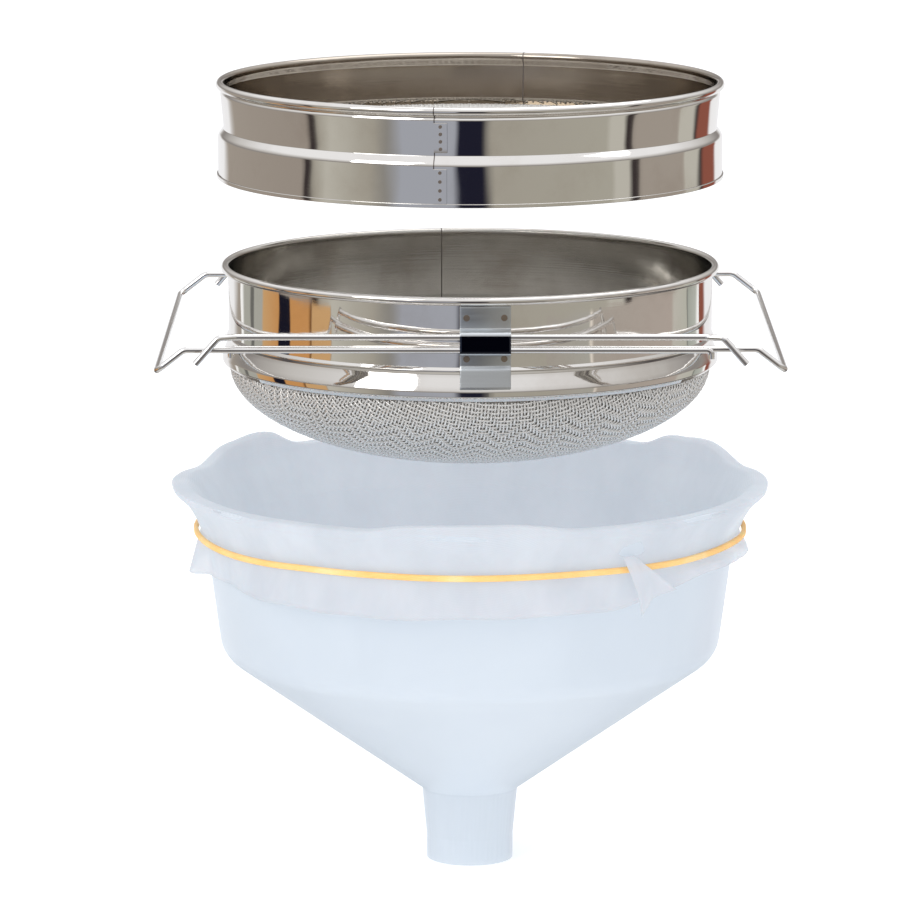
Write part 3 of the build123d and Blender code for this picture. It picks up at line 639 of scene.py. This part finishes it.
# ---- woven wire ------------------------------------------------------------------------------
def make_weave_tree():
    """Geometry nodes that weave one set of wires over a dished or flat round, from its meridian."""
    group = bpy.data.node_groups.new("woven_wires", "GeometryNodeTree")
    sockets = [("Spacing", "NodeSocketFloat", 0.002), ("Step X", "NodeSocketFloat", 0.002),
               ("Step Y", "NodeSocketFloat", 0.002), ("Block", "NodeSocketFloat", 6.0),
               ("Turn", "NodeSocketFloat", 0.0), ("Wire Radius", "NodeSocketFloat", 0.0006),
               ("Rise", "NodeSocketFloat", 0.0005), ("Round Radius", "NodeSocketFloat", 0.1),
               ("Dish Depth", "NodeSocketFloat", 0.0), ("Centre Height", "NodeSocketFloat", 0.2),
               ("Reach", "NodeSocketFloat", 0.14), ("Wires", "NodeSocketInt", 10),
               ("First Wire", "NodeSocketFloat", 0.0), ("Points", "NodeSocketInt", 100),
               ("Repeat", "NodeSocketFloat", 4.0), ("Weft", "NodeSocketFloat", 0.0),
               ("Metal", "NodeSocketMaterial", None)]
    for label, kind, value in sockets:
        socket = group.interface.new_socket(label, in_out="INPUT", socket_type=kind)
        if value is not None:
            socket.default_value = value
    group.interface.new_socket("Geometry", in_out="OUTPUT", socket_type="NodeSocketGeometry")
    tree = Tree(group)
    given = tree.add("NodeGroupInput").outputs
    out = tree.add("NodeGroupOutput")
    vector = lambda x, y, z: tree.add("ShaderNodeCombineXYZ", {0: x, 1: y, 2: z}).outputs[0]
    # one straight wire, and a column of copies of it
    start = vector(tree.math("MULTIPLY", given["Reach"], -1.0), 0.0, 0.0)
    end = vector(given["Reach"], 0.0, 0.0)
    line = tree.add("GeometryNodeCurvePrimitiveLine", {"Start": start, "End": end}).outputs["Curve"]
    wire = tree.add("GeometryNodeResampleCurve", {"Curve": line, "Count": given["Points"]}).outputs["Curve"]
    first = vector(0.0, tree.math("MULTIPLY", given["First Wire"], given["Spacing"]), 0.0)
    column = tree.add("GeometryNodeMeshLine", {
        "Count": given["Wires"], "Offset": vector(0.0, given["Spacing"], 0.0), "Start Location": first})
    copies = tree.add("GeometryNodeInstanceOnPoints", {
        "Points": column.outputs["Mesh"], "Instance": wire}).outputs["Instances"]
    flat = tree.add("GeometryNodeRealizeInstances", {"Geometry": copies}).outputs["Geometry"]
    place = tree.add("GeometryNodeInputPosition").outputs["Position"]
    parts = tree.add("ShaderNodeSeparateXYZ", {0: place}).outputs
    distance = tree.add("ShaderNodeVectorMath", {0: place}, operation="LENGTH").outputs["Value"]
    more = {"data_type": "FLOAT", "operation": "GREATER_THAN"}
    beyond = tree.add("FunctionNodeCompare", {0: distance, 1: given["Reach"]}, **more).outputs["Result"]
    kept = tree.add("GeometryNodeDeleteGeometry", {"Geometry": flat, "Selection": beyond}, domain="POINT")
    kept = kept.outputs["Geometry"]
    # the meridian from the middle of the dish to its edge
    quarter = tree.add("GeometryNodeCurveArc", {
        "Resolution": 200, "Radius": 1.0, "Start Angle": math.radians(-90), "Sweep Angle": math.radians(90)},
        mode="RADIUS").outputs["Curve"]
    shape = vector(given["Round Radius"], given["Dish Depth"], 1.0)
    dish = tree.add("GeometryNodeTransform", {"Geometry": quarter, "Scale": shape}).outputs["Geometry"]
    edge = vector(given["Round Radius"], 0.0, 0.0)
    spoke = tree.add("GeometryNodeCurvePrimitiveLine", {"Start": vector(0.0, 0.0, 0.0), "End": edge})
    is_dished = tree.add("FunctionNodeCompare", {0: given["Dish Depth"], 1: 1e-5}, **more).outputs["Result"]
    meridian = tree.add("GeometryNodeSwitch", {
        "Switch": is_dished, "False": spoke.outputs["Curve"], "True": dish}, input_type="GEOMETRY")
    at = tree.add("GeometryNodeSampleCurve", {"Curves": meridian.outputs["Output"], "Length": distance},
                  mode="LENGTH", use_all_curves=True, data_type="FLOAT")
    reach = tree.add("ShaderNodeSeparateXYZ", {0: at.outputs["Position"]}).outputs
    slope = tree.add("ShaderNodeSeparateXYZ", {0: at.outputs["Tangent"]}).outputs
    # over some wires and under as many, stepping along at each wire and turning back at each block
    warp = tree.math("SUBTRACT", 1.0, given["Weft"])
    here_x = tree.math("MULTIPLY_ADD", parts["X"], warp, tree.math("MULTIPLY", parts["Y"], given["Weft"]))
    here_y = tree.math("MULTIPLY_ADD", parts["Y"], warp, tree.math("MULTIPLY", parts["X"], given["Weft"]))
    steps_x = tree.math("PINGPONG", tree.math("DIVIDE", here_x, given["Step X"]), given["Block"])
    steps_y = tree.math("DIVIDE", here_y, given["Step Y"])
    beat = tree.math("DIVIDE", tree.math("ADD", steps_x, steps_y), given["Repeat"])
    swing = tree.math("COSINE", tree.math("MULTIPLY", beat, 2 * math.pi))
    sign = tree.math("MULTIPLY_ADD", given["Weft"], -2.0, 1.0)
    rise = tree.math("MULTIPLY", tree.math("MULTIPLY", swing, sign), given["Rise"])
    outwards = tree.math("MULTIPLY", slope["Y"], -1.0)
    radial = tree.math("SUBTRACT", reach["X"], tree.math("MULTIPLY", rise, outwards))
    height = tree.math("SUBTRACT", reach["Y"], tree.math("MULTIPLY", rise, slope["X"]))
    safe = tree.math("MAXIMUM", distance, 1e-6)
    share = tree.math("DIVIDE", radial, safe)
    top = tree.math("ADD", height, given["Centre Height"])
    final = vector(tree.math("MULTIPLY", share, here_x), tree.math("MULTIPLY", share, here_y), top)
    laid = tree.add("GeometryNodeSetPosition", {"Geometry": kept, "Position": final}).outputs["Geometry"]
    section = tree.add("GeometryNodeCurvePrimitiveCircle", {"Resolution": 4, "Radius": given["Wire Radius"]},
                       mode="RADIUS").outputs["Curve"]
    tube = tree.add("GeometryNodeCurveToMesh", {"Curve": laid, "Profile Curve": section, "Fill Caps": True})
    smooth = tree.add("GeometryNodeSetShadeSmooth", {"Geometry": tube.outputs["Mesh"]}).outputs[0]
    turn = vector(0.0, 0.0, given["Turn"])
    turned_round = tree.add("GeometryNodeTransform", {"Geometry": smooth, "Rotation": turn}).outputs["Geometry"]
    whole = tree.add("GeometryNodeRealizeInstances", {"Geometry": turned_round}).outputs["Geometry"]
    done = tree.add("GeometryNodeSetMaterial", {"Geometry": whole, "Material": given["Metal"]})
    tree.tree.links.new(done.outputs["Geometry"], out.inputs[0])
    return group


def grown(name, group, values):
    """The plain mesh that a geometry tree makes from these named values."""
    seed = bpy.data.objects.new(name + ".seed", bpy.data.meshes.new(name + ".seed"))
    bpy.context.scene.collection.objects.link(seed)
    modifier = seed.modifiers.new("grow", "NODES")
    modifier.node_group = group
    sockets = {item.name: item.identifier for item in group.interface.items_tree if item.in_out == "INPUT"}
    for label, value in values.items():
        modifier[sockets[label]] = value
    mesh = bpy.data.meshes.new_from_object(seed.evaluated_get(bpy.context.evaluated_depsgraph_get()))
    seed.modifiers.remove(modifier)
    bpy.data.objects.remove(seed)
    mesh.name = name
    thing = bpy.data.objects.new(name, mesh)
    bpy.context.scene.collection.objects.link(thing)
    return thing


WEAVE = make_weave_tree()
BOWL_R, BOWL_DEPTH = SIEVE_R - SHEET, 45.0


def dish_arc(radius, depth, steps=400):
    """Length of a quarter ellipse, from the bottom of a dish to its edge."""
    spots = [math.pi / 2 * i / steps for i in range(steps + 1)]
    line = [Vector((radius * math.sin(t), depth * math.cos(t))) for t in spots]
    return sum((b - a).length for a, b in zip(line, line[1:]))


BOWL_ARC = dish_arc(BOWL_R - 0.9, BOWL_DEPTH - 0.9)


def woven(stem, body, node, steps, block, repeat, turn, wire_r, rise, dish, reach, spacing):
    """Both sets of wires of a mesh, each in two pieces; steps are the spacings along X and along Y."""
    radius, depth, z = dish
    for weft in (0, 1):
        gap = steps[1 - weft]
        side = int(reach / gap)
        for half, first in (("near", -side), ("far", 0)):
            wires = grown(f"{stem}_{('warp', 'weft')[weft]}_{half}", WEAVE, {
                "Spacing": gap * MM, "Step X": steps[0] * MM, "Step Y": steps[1] * MM, "Block": block,
                "Turn": math.radians(turn), "Wire Radius": wire_r * MM, "Rise": rise * MM,
                "Round Radius": radius * MM, "Dish Depth": depth * MM, "Centre Height": z * MM,
                "Reach": reach * MM, "Wires": side if half == "near" else side + 1, "First Wire": float(first),
                "Points": int(2 * reach / spacing), "Repeat": repeat, "Weft": float(weft), "Metal": WIRE})
            fitted(wires, body, "woven_wire", node)


def make_screen():
    """The fine inner layer of the bowl, which the coarse weave stiffens."""
    steps, within = 60, 1.3
    line = []
    for i in range(steps + 1):
        t = math.pi / 2 * i / steps
        height = LOWER_FOOT_Z - (BOWL_DEPTH - within) * math.cos(t)
        line.append(Vector(((BOWL_R - within) * math.sin(t), height)))
    line.append(Vector((BOWL_R - within, LOWER_FOOT_Z + 4.0)))
    vertices, faces, around = [], [], 240
    for p in line:
        for k in range(around):
            t = 2 * math.pi * k / around
            vertices.append((p.x * math.cos(t), p.x * math.sin(t), p.y))
    for row in range(len(line) - 1):
        for k in range(around):
            j = (k + 1) % around
            a = row * around
            faces.append((a + k, a + j, a + around + j, a + around + k))
    screen = piece("bowl_fine_screen", vertices, faces, [SCREEN], closed=False)
    shell = screen.modifiers.new("wire_thickness", "SOLIDIFY")
    shell.thickness = 0.3 * MM
    shell.offset = -1.0
    return fitted(screen, "lower_sieve", "woven_wire")


def make_screen_material():
    """Fine woven wire seen as a grey skin with a tiny square grid."""
    material, tree, shader = new_material("fine_wire_screen", Metallic=1.0, Roughness=0.45)
    place = tree.add("ShaderNodeTexCoord").outputs["Object"]
    parts = tree.add("ShaderNodeSeparateXYZ", {0: place}).outputs
    pitch = 0.9 * MM
    waves = [tree.math("SINE", tree.math("MULTIPLY", parts[k], 2 * math.pi / pitch)) for k in ("X", "Y")]
    weave = tree.math("MULTIPLY_ADD", tree.math("MULTIPLY", waves[0], waves[1]), 0.5, 0.5)
    colour = tree.ramp(weave, [(0.2, (0.42, 0.41, 0.39)), (0.8, (0.74, 0.72, 0.69))])
    bump = tree.add("ShaderNodeBump", {"Strength": 0.6, "Distance": 0.0002, "Height": weave})
    tree.tree.links.new(colour, shader.inputs["Base Color"])
    tree.tree.links.new(bump.outputs["Normal"], shader.inputs["Normal"])
    return material


SCREEN = make_screen_material()

# ---- filter cloth and rubber band ------------------------------------------------------------
CLOTH_THICK = 0.35
LEG_CROSSINGS = 60, 120, 240, 300  # degrees at which the lowered legs lie over the lip
rng = random.Random(24)


def gather(counts, falloff=1.0):
    """A sum of ripples round the cloth, as a function of the direction."""
    waves = [(k, rng.uniform(0, 2 * math.pi), rng.uniform(0.6, 1.0) / k ** falloff) for k in counts]
    size = sum(w for _, _, w in waves)
    return lambda t: sum(w * math.cos(k * t + p) for k, p, w in waves) / size


def smooth(a, b, x):
    """Nothing at a, one at b, and an even curve between."""
    t = min(1.0, max(0.0, (x - a) / (b - a)))
    return t * t * (3 - 2 * t)


def near(t, middle, half):
    """One at the direction called middle, falling away to nothing half as many degrees to either side."""
    away = abs((math.degrees(t) - middle + 180) % 360 - 180)
    return 1 - smooth(0.25 * half, half, away)


def cloth_line():
    """The cloth's middle line before it is gathered: bag, inside wall, over the lip, band, hem."""
    lining = FUNNEL_WALL + 0.9
    top = LIP_Z + 1.0
    band_r = TUB_TOP_R + 8.5 * 3.0 / 24.0 + 1.0
    return finely(rounded(
        [(0, TUB_Z - 4.5), (60.0, TUB_Z - 4.5), (TUB_FOOT_R - lining - 1.5, TUB_Z + 8.5),
         (TUB_TOP_R - lining - 1.0, COLLAR_Z + 0.5), (LIP_R - 3.0 - lining, top), (LIP_R + 1.0, top),
         (LIP_R + 1.4, LIP_Z - 3.5), (band_r, BAND_Z + 1.0), (LIP_R - 4.5, BAND_Z - 19.0)],
        [60.0, 12.0, 10.0, 1.6, 1.6, 3.0, 5.0], 0.15), 2.6)


def thin_cloth(cloth):
    """Gives a cloth sheet its thickness and puts it with the funnel."""
    thickness = cloth.modifiers.new("cloth_thickness", "SOLIDIFY")
    thickness.thickness = CLOTH_THICK * MM
    thickness.offset = 0.0
    return fitted(cloth, "stand", "filter_cloth", "filter_cloth")


def make_cloth():
    """The straining cloth: gathered inside, lifted a little off the lip, pinched by the band, loose below."""
    line = cloth_line()
    along = [0.0]
    for a, b in zip(line, line[1:]):
        along.append(along[-1] + (b - a).length)
    lip_at = next(s for s, p in zip(along, line) if p.x > LIP_R - 1.0)
    band_at = min((abs(p.y - BAND_Z) + 100 * (s < lip_at), s) for s, p in zip(along, line))[1]
    total = along[-1]
    bag, collar, pinch = gather(range(3, 12)), gather(range(9, 34), 0.6), gather(range(40, 90), 0.2)
    skirt, uneven, puff = gather(range(7, 30), 0.8), gather(range(2, 7)), gather(range(3, 9))
    around = 480
    vertices, faces, places = [], [], []
    for i, (p, s) in enumerate(zip(line, along)):
        before, after = line[max(i - 1, 0)], line[min(i + 1, len(line) - 1)]
        d = (after - before).normalized()
        out = Vector((d.y, -d.x))
        for k in range(around):
            t = 2 * math.pi * k / around
            wall = smooth(30, 110, s) * (1 - smooth(lip_at - 24, lip_at - 4, s))
            over = smooth(lip_at - 10, lip_at + 3, s) * (1 - smooth(band_at - 9, band_at - 2, s))
            tight = max(0.0, 1 - abs(s - band_at) / 9)
            loose = smooth(band_at + 1, total, s)
            crest = smooth(lip_at - 12, lip_at - 2, s) * (1 - smooth(lip_at + 2, lip_at + 11, s))
            front, back = near(t, 270, 27), near(t, 90, 22) + near(t, 144, 20) + near(t, 35, 19)
            ears = near(t, 186, 30) + 1.1 * near(t, 354, 34)
            knot = near(t, 304, 6)
            corner = near(t, 203, 15) + 0.7 * near(t, 306, 12) + 0.8 * near(t, 122, 14) + 0.8 * near(t, 32, 14)
            rests = max(near(t, leg, 17) for leg in LEG_CROSSINGS) * smooth(lip_at - 22, lip_at - 12, s)
            rests *= 1 - smooth(lip_at + 2, lip_at + 8, s)
            billow = 1.0 + 1.6 * max(0.0, puff(t)) + 1.7 * collar(t) * (1 - 0.6 * crest)
            move = -wall * (1.9 + 1.9 * bag(t) + 0.9 * collar(t + 0.4))
            move += over * (1 - rests) * billow
            move += over * 2.2 * knot * (1 - crest)
            move += tight * (0.3 + 0.9 * pinch(t))
            move += loose * (4.4 * skirt(t) + 1.6 * pinch(t) + 6.5 * corner)
            shorter = 4.0 * near(t, 203, 20) + 11.0 * near(t, 340, 42)
            drop = loose * (3.6 * uneven(t) + 2.0 * skirt(t + 1.0) - shorter)
            raised = (4.5 * front + 8.5 * back + 1.5 * ears) * (1 + 0.35 * collar(t + 1.3))
            lift = crest * (1 - rests) * raised
            r = p.x + out.x * move + crest * (4.2 * ears - 1.5 * back)
            z = p.y + out.y * move - drop + lift
            vertices.append((r * math.cos(t), r * math.sin(t), z))
            places.append((0.5 + s / total * 0.5 * math.cos(t), 0.5 + s / total * 0.5 * math.sin(t)))
    for row in range(len(line) - 1):
        for k in range(around):
            j = (k + 1) % around
            a = row * around
            faces.append((a + k, a + j, a + around + j, a + around + k))
    mesh = bpy.data.meshes.new("straining_cloth")
    mesh.from_pydata([tuple(c * MM for c in v) for v in vertices], [], faces)
    uv = mesh.uv_layers.new(name="cut")
    for loop in mesh.loops:
        uv.data[loop.index].uv = places[loop.vertex_index]
    form = bmesh.new()
    form.from_mesh(mesh)
    bmesh.ops.remove_doubles(form, verts=form.verts, dist=1e-7)
    form.to_mesh(mesh)
    form.free()
    mesh.materials.append(CLOTH)
    mesh.shade_smooth()
    cloth = bpy.data.objects.new("straining_cloth", mesh)
    bpy.context.scene.collection.objects.link(cloth)
    thin_cloth(cloth)
    return cloth


def make_fold():
    """The corner of the cloth that hangs out over the band as a pleat."""
    long, wide, steps_down, steps_across = 21.0, 22.0, 26, 12
    vertices, faces, places = [], [], []
    for i in range(steps_down + 1):
        u = i / steps_down
        spread = 3.2 + (wide / 2 - 3.2) * u ** 1.2
        for k in range(steps_across + 1):
            v = 2 * k / steps_across - 1
            r = 134.2 + 2.2 * math.sin(math.pi * u) + 3.0 * u + 1.6 * math.cos(2.6 * v + 3 * u) * (0.4 + u)
            t = math.radians(303.0 + 6.0 * u) + spread * v / r
            z = BAND_Z + 7.0 - long * u + u * (5.0 * v - 2.0 * abs(v))
            vertices.append((r * math.cos(t) * MM, r * math.sin(t) * MM, z * MM))
            places.append((0.5 + v * 0.02, 0.5 - u * 0.06))
    row = steps_across + 1
    for i in range(steps_down):
        for k in range(steps_across):
            a = i * row + k
            faces.append((a, a + row, a + row + 1, a + 1))
    mesh = bpy.data.meshes.new("cloth_corner_fold")
    mesh.from_pydata(vertices, [], faces)
    uv = mesh.uv_layers.new(name="cut")
    for loop in mesh.loops:
        uv.data[loop.index].uv = places[loop.vertex_index]
    mesh.materials.append(CLOTH)
    mesh.shade_smooth()
    fold = bpy.data.objects.new("cloth_corner_fold", mesh)
    bpy.context.scene.collection.objects.link(fold)
    thin_cloth(fold)
    return fold


def make_band():
    """The rubber band, pulled a little unevenly into the gathers."""
    ripple, sway = gather(range(5, 25)), gather(range(2, 9))
    corner = [(math.cos(math.radians(a)), math.sin(math.radians(a))) for a in range(0, 360, 30)]
    vertices, faces, around = [], [], 360
    for k in range(around):
        t = 2 * math.pi * k / around
        r = 131.6 + 0.5 * ripple(t)
        z = BAND_Z + 0.9 * sway(t) + 0.3 * ripple(t + 2)
        for c, s in corner:
            flat = 1 / max(abs(c) ** 4 + abs(s) ** 4, 0.3) ** 0.25
            away = r + 1.15 * c * flat
            vertices.append((away * math.cos(t), away * math.sin(t), z + 1.45 * s * flat))
    count = len(corner)
    for k in range(around):
        for i in range(count):
            j, n = (i + 1) % count, (k + 1) % around
            faces.append((k * count + i, n * count + i, n * count + j, k * count + j))
    band = piece("band_ring", vertices, faces, [RUBBER], sharp=60)
    return fitted(band, "stand", "rubber_band", "rubber_band")


# ---- stage, light and camera -----------------------------------------------------------------
def make_floor():
    """Plain pale floor that doesn't show in the steel."""
    material, _, shader = new_material("pale_floor", Roughness=0.9)
    shader.inputs["Base Color"].default_value = (0.93, 0.93, 0.93, 1)
    shader.inputs["Emission Color"].default_value = (1, 1, 1, 1)
    shader.inputs["Emission Strength"].default_value = 0.3
    mesh = bpy.data.meshes.new("floor")
    size, z = 40.0, -0.0002
    corners = [(-size, -size, z), (size, -size, z), (size, size, z), (-size, size, z)]
    mesh.from_pydata(corners, [], [(0, 1, 2, 3)])
    mesh.materials.append(material)
    floor = bpy.data.objects.new("floor", mesh)
    bpy.context.scene.collection.objects.link(floor)
    floor.visible_glossy = False


def make_world():
    """Even white light; what shines in the steel is a taupe room with a red-brown post at the right."""
    world = bpy.data.worlds.new("studio")
    bpy.context.scene.world = world
    world.use_nodes = True
    tree = Tree(world.node_tree)
    background = world.node_tree.nodes["Background"]
    way = tree.add("ShaderNodeTexCoord").outputs["Generated"]
    parts = tree.add("ShaderNodeSeparateXYZ", {0: way}).outputs
    azimuth = tree.math("ARCTAN2", parts["X"], tree.math("MULTIPLY", parts["Y"], -1.0))
    across = tree.math("MULTIPLY_ADD", azimuth, 1 / (2 * math.pi), 0.5)
    white, taupe, dark = (1.0, 1.0, 1.02), (0.41, 0.365, 0.32), (0.05, 0.04, 0.04)
    olive, pale, sky = (0.43, 0.405, 0.35), (0.58, 0.56, 0.5), (0.42, 0.44, 0.5)
    night, post = (0.015, 0.015, 0.03), (0.3, 0.1, 0.07)
    walls = tree.ramp(across, [
        (0.0, white), (0.075, white), (0.1, taupe), (0.272, (0.37, 0.325, 0.285)), (0.276, dark), (0.284, dark),
        (0.29, olive), (0.31, pale), (0.37, olive), (0.392, (0.3, 0.29, 0.27)), (0.41, sky), (0.48, sky),
        (0.488, night), (0.518, night), (0.53, olive), (0.685, (0.46, 0.44, 0.38)), (0.69, pale), (0.712, pale),
        (0.717, dark), (0.726, dark), (0.731, taupe), (0.815, taupe), (0.82, pale), (0.85, pale), (0.86, dark),
        (0.868, post), (0.905, post), (0.915, white), (1.0, white)])
    height = tree.math("MULTIPLY_ADD", parts["Z"], 0.5, 0.5)
    shade = tree.ramp(height, [
        (0.0, (0.75, 0.73, 0.7)), (0.12, (0.5, 0.48, 0.45)), (0.2, (0.1, 0.09, 0.09)),
        (0.3, (0.22, 0.2, 0.18)), (0.34, (0.3, 0.27, 0.24)), (0.5, (0.4, 0.37, 0.33)),
        (0.56, (0.3, 0.28, 0.27)), (0.64, (0.6, 0.58, 0.56)), (0.78, white), (1.0, white)])
    level = tree.ramp(height, [(0.3, (0, 0, 0)), (0.34, (1, 1, 1)), (0.5, (1, 1, 1)), (0.54, (0, 0, 0))])
    room = tree.mix(level, shade, walls)
    rays = tree.add("ShaderNodeLightPath").outputs
    lit = tree.mix(rays["Is Glossy Ray"], (0.97, 0.98, 1.0, 1), room)
    colour = tree.mix(rays["Is Camera Ray"], lit, (1.05, 1.05, 1.05, 1))
    tree.tree.links.new(colour, background.inputs["Color"])
    background.inputs["Strength"].default_value = 0.92


def make_reflector(name, side, turn_from, turn_to, stops):
    """A striped arc, seen only in the steel at the lower sieve's height, as things standing in the room."""
    material = bpy.data.materials.new(name)
    material.use_nodes = True
    tree = Tree(material.node_tree)
    material.node_tree.nodes.remove(material.node_tree.nodes["Principled BSDF"])
    along = tree.add("ShaderNodeSeparateXYZ", {0: tree.add("ShaderNodeTexCoord").outputs["UV"]}).outputs["X"]
    glow = tree.add("ShaderNodeEmission", {"Color": tree.ramp(along, stops)})
    tree.tree.links.new(glow.outputs[0], material.node_tree.nodes["Material Output"].inputs["Surface"])
    distance, steps = 0.35, 60
    low, high = LOWER_FOOT_Z * MM - 0.1, LOWER_RIM_Z * MM - 0.045
    vertices = []
    for i in range(steps + 1):
        t = math.radians(turn_from + (turn_to - turn_from) * i / steps)
        for z in (low, high):
            vertices.append((side * distance * math.sin(t), -distance * math.cos(t), z))
    faces = [(2 * i, 2 * i + 2, 2 * i + 3, 2 * i + 1) for i in range(steps)]
    mesh = bpy.data.meshes.new(name)
    mesh.from_pydata(vertices, [], faces)
    uv = mesh.uv_layers.new(name="along")
    for loop in mesh.loops:
        uv.data[loop.index].uv = ((loop.vertex_index // 2) / steps, loop.vertex_index % 2)
    mesh.materials.append(material)
    card = bpy.data.objects.new(name, mesh)
    bpy.context.scene.collection.objects.link(card)
    for kind in ("camera", "diffuse", "transmission", "volume_scatter", "shadow"):
        setattr(card, f"visible_{kind}", False)


def area_light(name, place, target, size, power, shines=True):
    """A rectangular soft light aimed at a point; one that doesn't shine isn't seen in the steel."""
    data = bpy.data.lights.new(name, "AREA")
    data.shape = "RECTANGLE"
    data.size, data.size_y = size
    data.energy = power
    lamp = bpy.data.objects.new(name, data)
    lamp.location = place
    lamp.rotation_euler = (Vector(target) - Vector(place)).to_track_quat("-Z", "Y").to_euler()
    lamp.visible_glossy = shines
    bpy.context.scene.collection.objects.link(lamp)


def make_camera():
    """Ten degrees above the front, far off, with a long lens."""
    pitch, distance, seen_wide = math.radians(10.0), 2.8, 0.432
    aim = Vector((-0.0096, 0.0, 0.200))
    data = bpy.data.cameras.new("camera")
    data.sensor_width = 36.0
    data.lens = data.sensor_width * distance / seen_wide
    data.clip_end = 100.0
    camera = bpy.data.objects.new("camera", data)
    back = Vector((0, -math.cos(pitch), math.sin(pitch)))
    camera.location = aim + back * distance
    camera.rotation_euler = (-back).to_track_quat("-Z", "Y").to_euler()
    bpy.context.scene.collection.objects.link(camera)
    bpy.context.scene.camera = camera


make_camera()
make_world()
make_floor()
amber, tan, black = (0.6, 0.3, 0.11), (0.62, 0.38, 0.18), (0.01, 0.01, 0.02)
grey, ash, white = (0.42, 0.42, 0.38), (0.16, 0.16, 0.15), (1, 1, 1)
make_reflector("doorway_reflector", -1, 58.0, 122.0, [
    (0.0, (0.36, 0.32, 0.28)), (0.01, tan), (0.16, tan), (0.17, (0.12, 0.05, 0.02)), (0.19, amber),
    (0.35, amber), (0.36, black), (0.46, black), (0.47, amber), (0.64, tan), (0.66, grey), (0.77, grey),
    (0.785, ash), (0.82, ash), (0.84, grey), (0.93, grey), (0.96, white)])
make_reflector("cupboard_reflector", 1, 30.0, 122.0, [
    (0.0, (0.4, 0.37, 0.33)), (0.2, (0.42, 0.41, 0.37)), (0.21, (0.85, 0.78, 0.7)), (0.225, (0.42, 0.38, 0.34)),
    (0.7, (0.46, 0.4, 0.36)), (0.72, (0.55, 0.53, 0.48)), (0.84, (0.5, 0.5, 0.44)), (0.845, ash),
    (0.86, (0.4, 0.42, 0.38)), (0.95, (0.5, 0.52, 0.48)), (0.98, white)])
area_light("left_softbox", (-1.4, -1.6, 1.5), (0, 0, 0.2), (1.2, 1.2), 14)
area_light("top_softbox", (0.5, 0.3, 2.0), (0, 0, 0.2), (1.6, 1.6), 10)
area_light("low_front_softbox", (0.0, -2.6, 0.62), (0, 0, 0.17), (1.6, 0.5), 7, shines=False)

make_funnel()
make_cloth()
make_fold()
make_band()
make_lower_walls()
make_upper_walls()
for side, sign in (("front", -1), ("back", 1)):
    make_rail(side, sign)
for side, turn in (("left", 1), ("right", -1)):
    make_arm(side, turn)
make_bracket("front", 6.6, -1)
make_bracket("back", 4.4, 1)
woven("bowl", "lower_sieve", "lower_mesh_bowl", steps=(1.7, 2.1), block=6.0, repeat=4.0, turn=8.0,
      wire_r=0.58, rise=0.42, dish=(BOWL_R - 0.9, BOWL_DEPTH - 0.9, LOWER_FOOT_Z),
      reach=BOWL_ARC - 0.3, spacing=1.0)
make_screen()
woven("flat_mesh", "upper_sieve", "upper_mesh", steps=(2.2, 2.2), block=1000.0, repeat=2.0, turn=0.0,
      wire_r=0.45, rise=0.35, dish=(118.1, 0.0, UPPER_RIM_Z - SHOULDER_DROP), reach=118.0, spacing=1.1)
FINISHES = {
    "lower_rim_wire": BRIGHT_ROD, "upper_rim_wire": BRIGHT_ROD,
    "lower_clamp_ring": SATIN, "upper_clamp_ring": SATIN,
    "lower_seam_welds": WELD, "upper_seam_welds": WELD,
    "front_bracket_welds": WELD, "back_bracket_welds": WELD,
}
for node, material in FINISHES.items():
    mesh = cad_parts[node].data
    mesh.materials.clear()
    mesh.materials.append(material)

bpy.context.scene.view_settings.view_transform = "Standard"
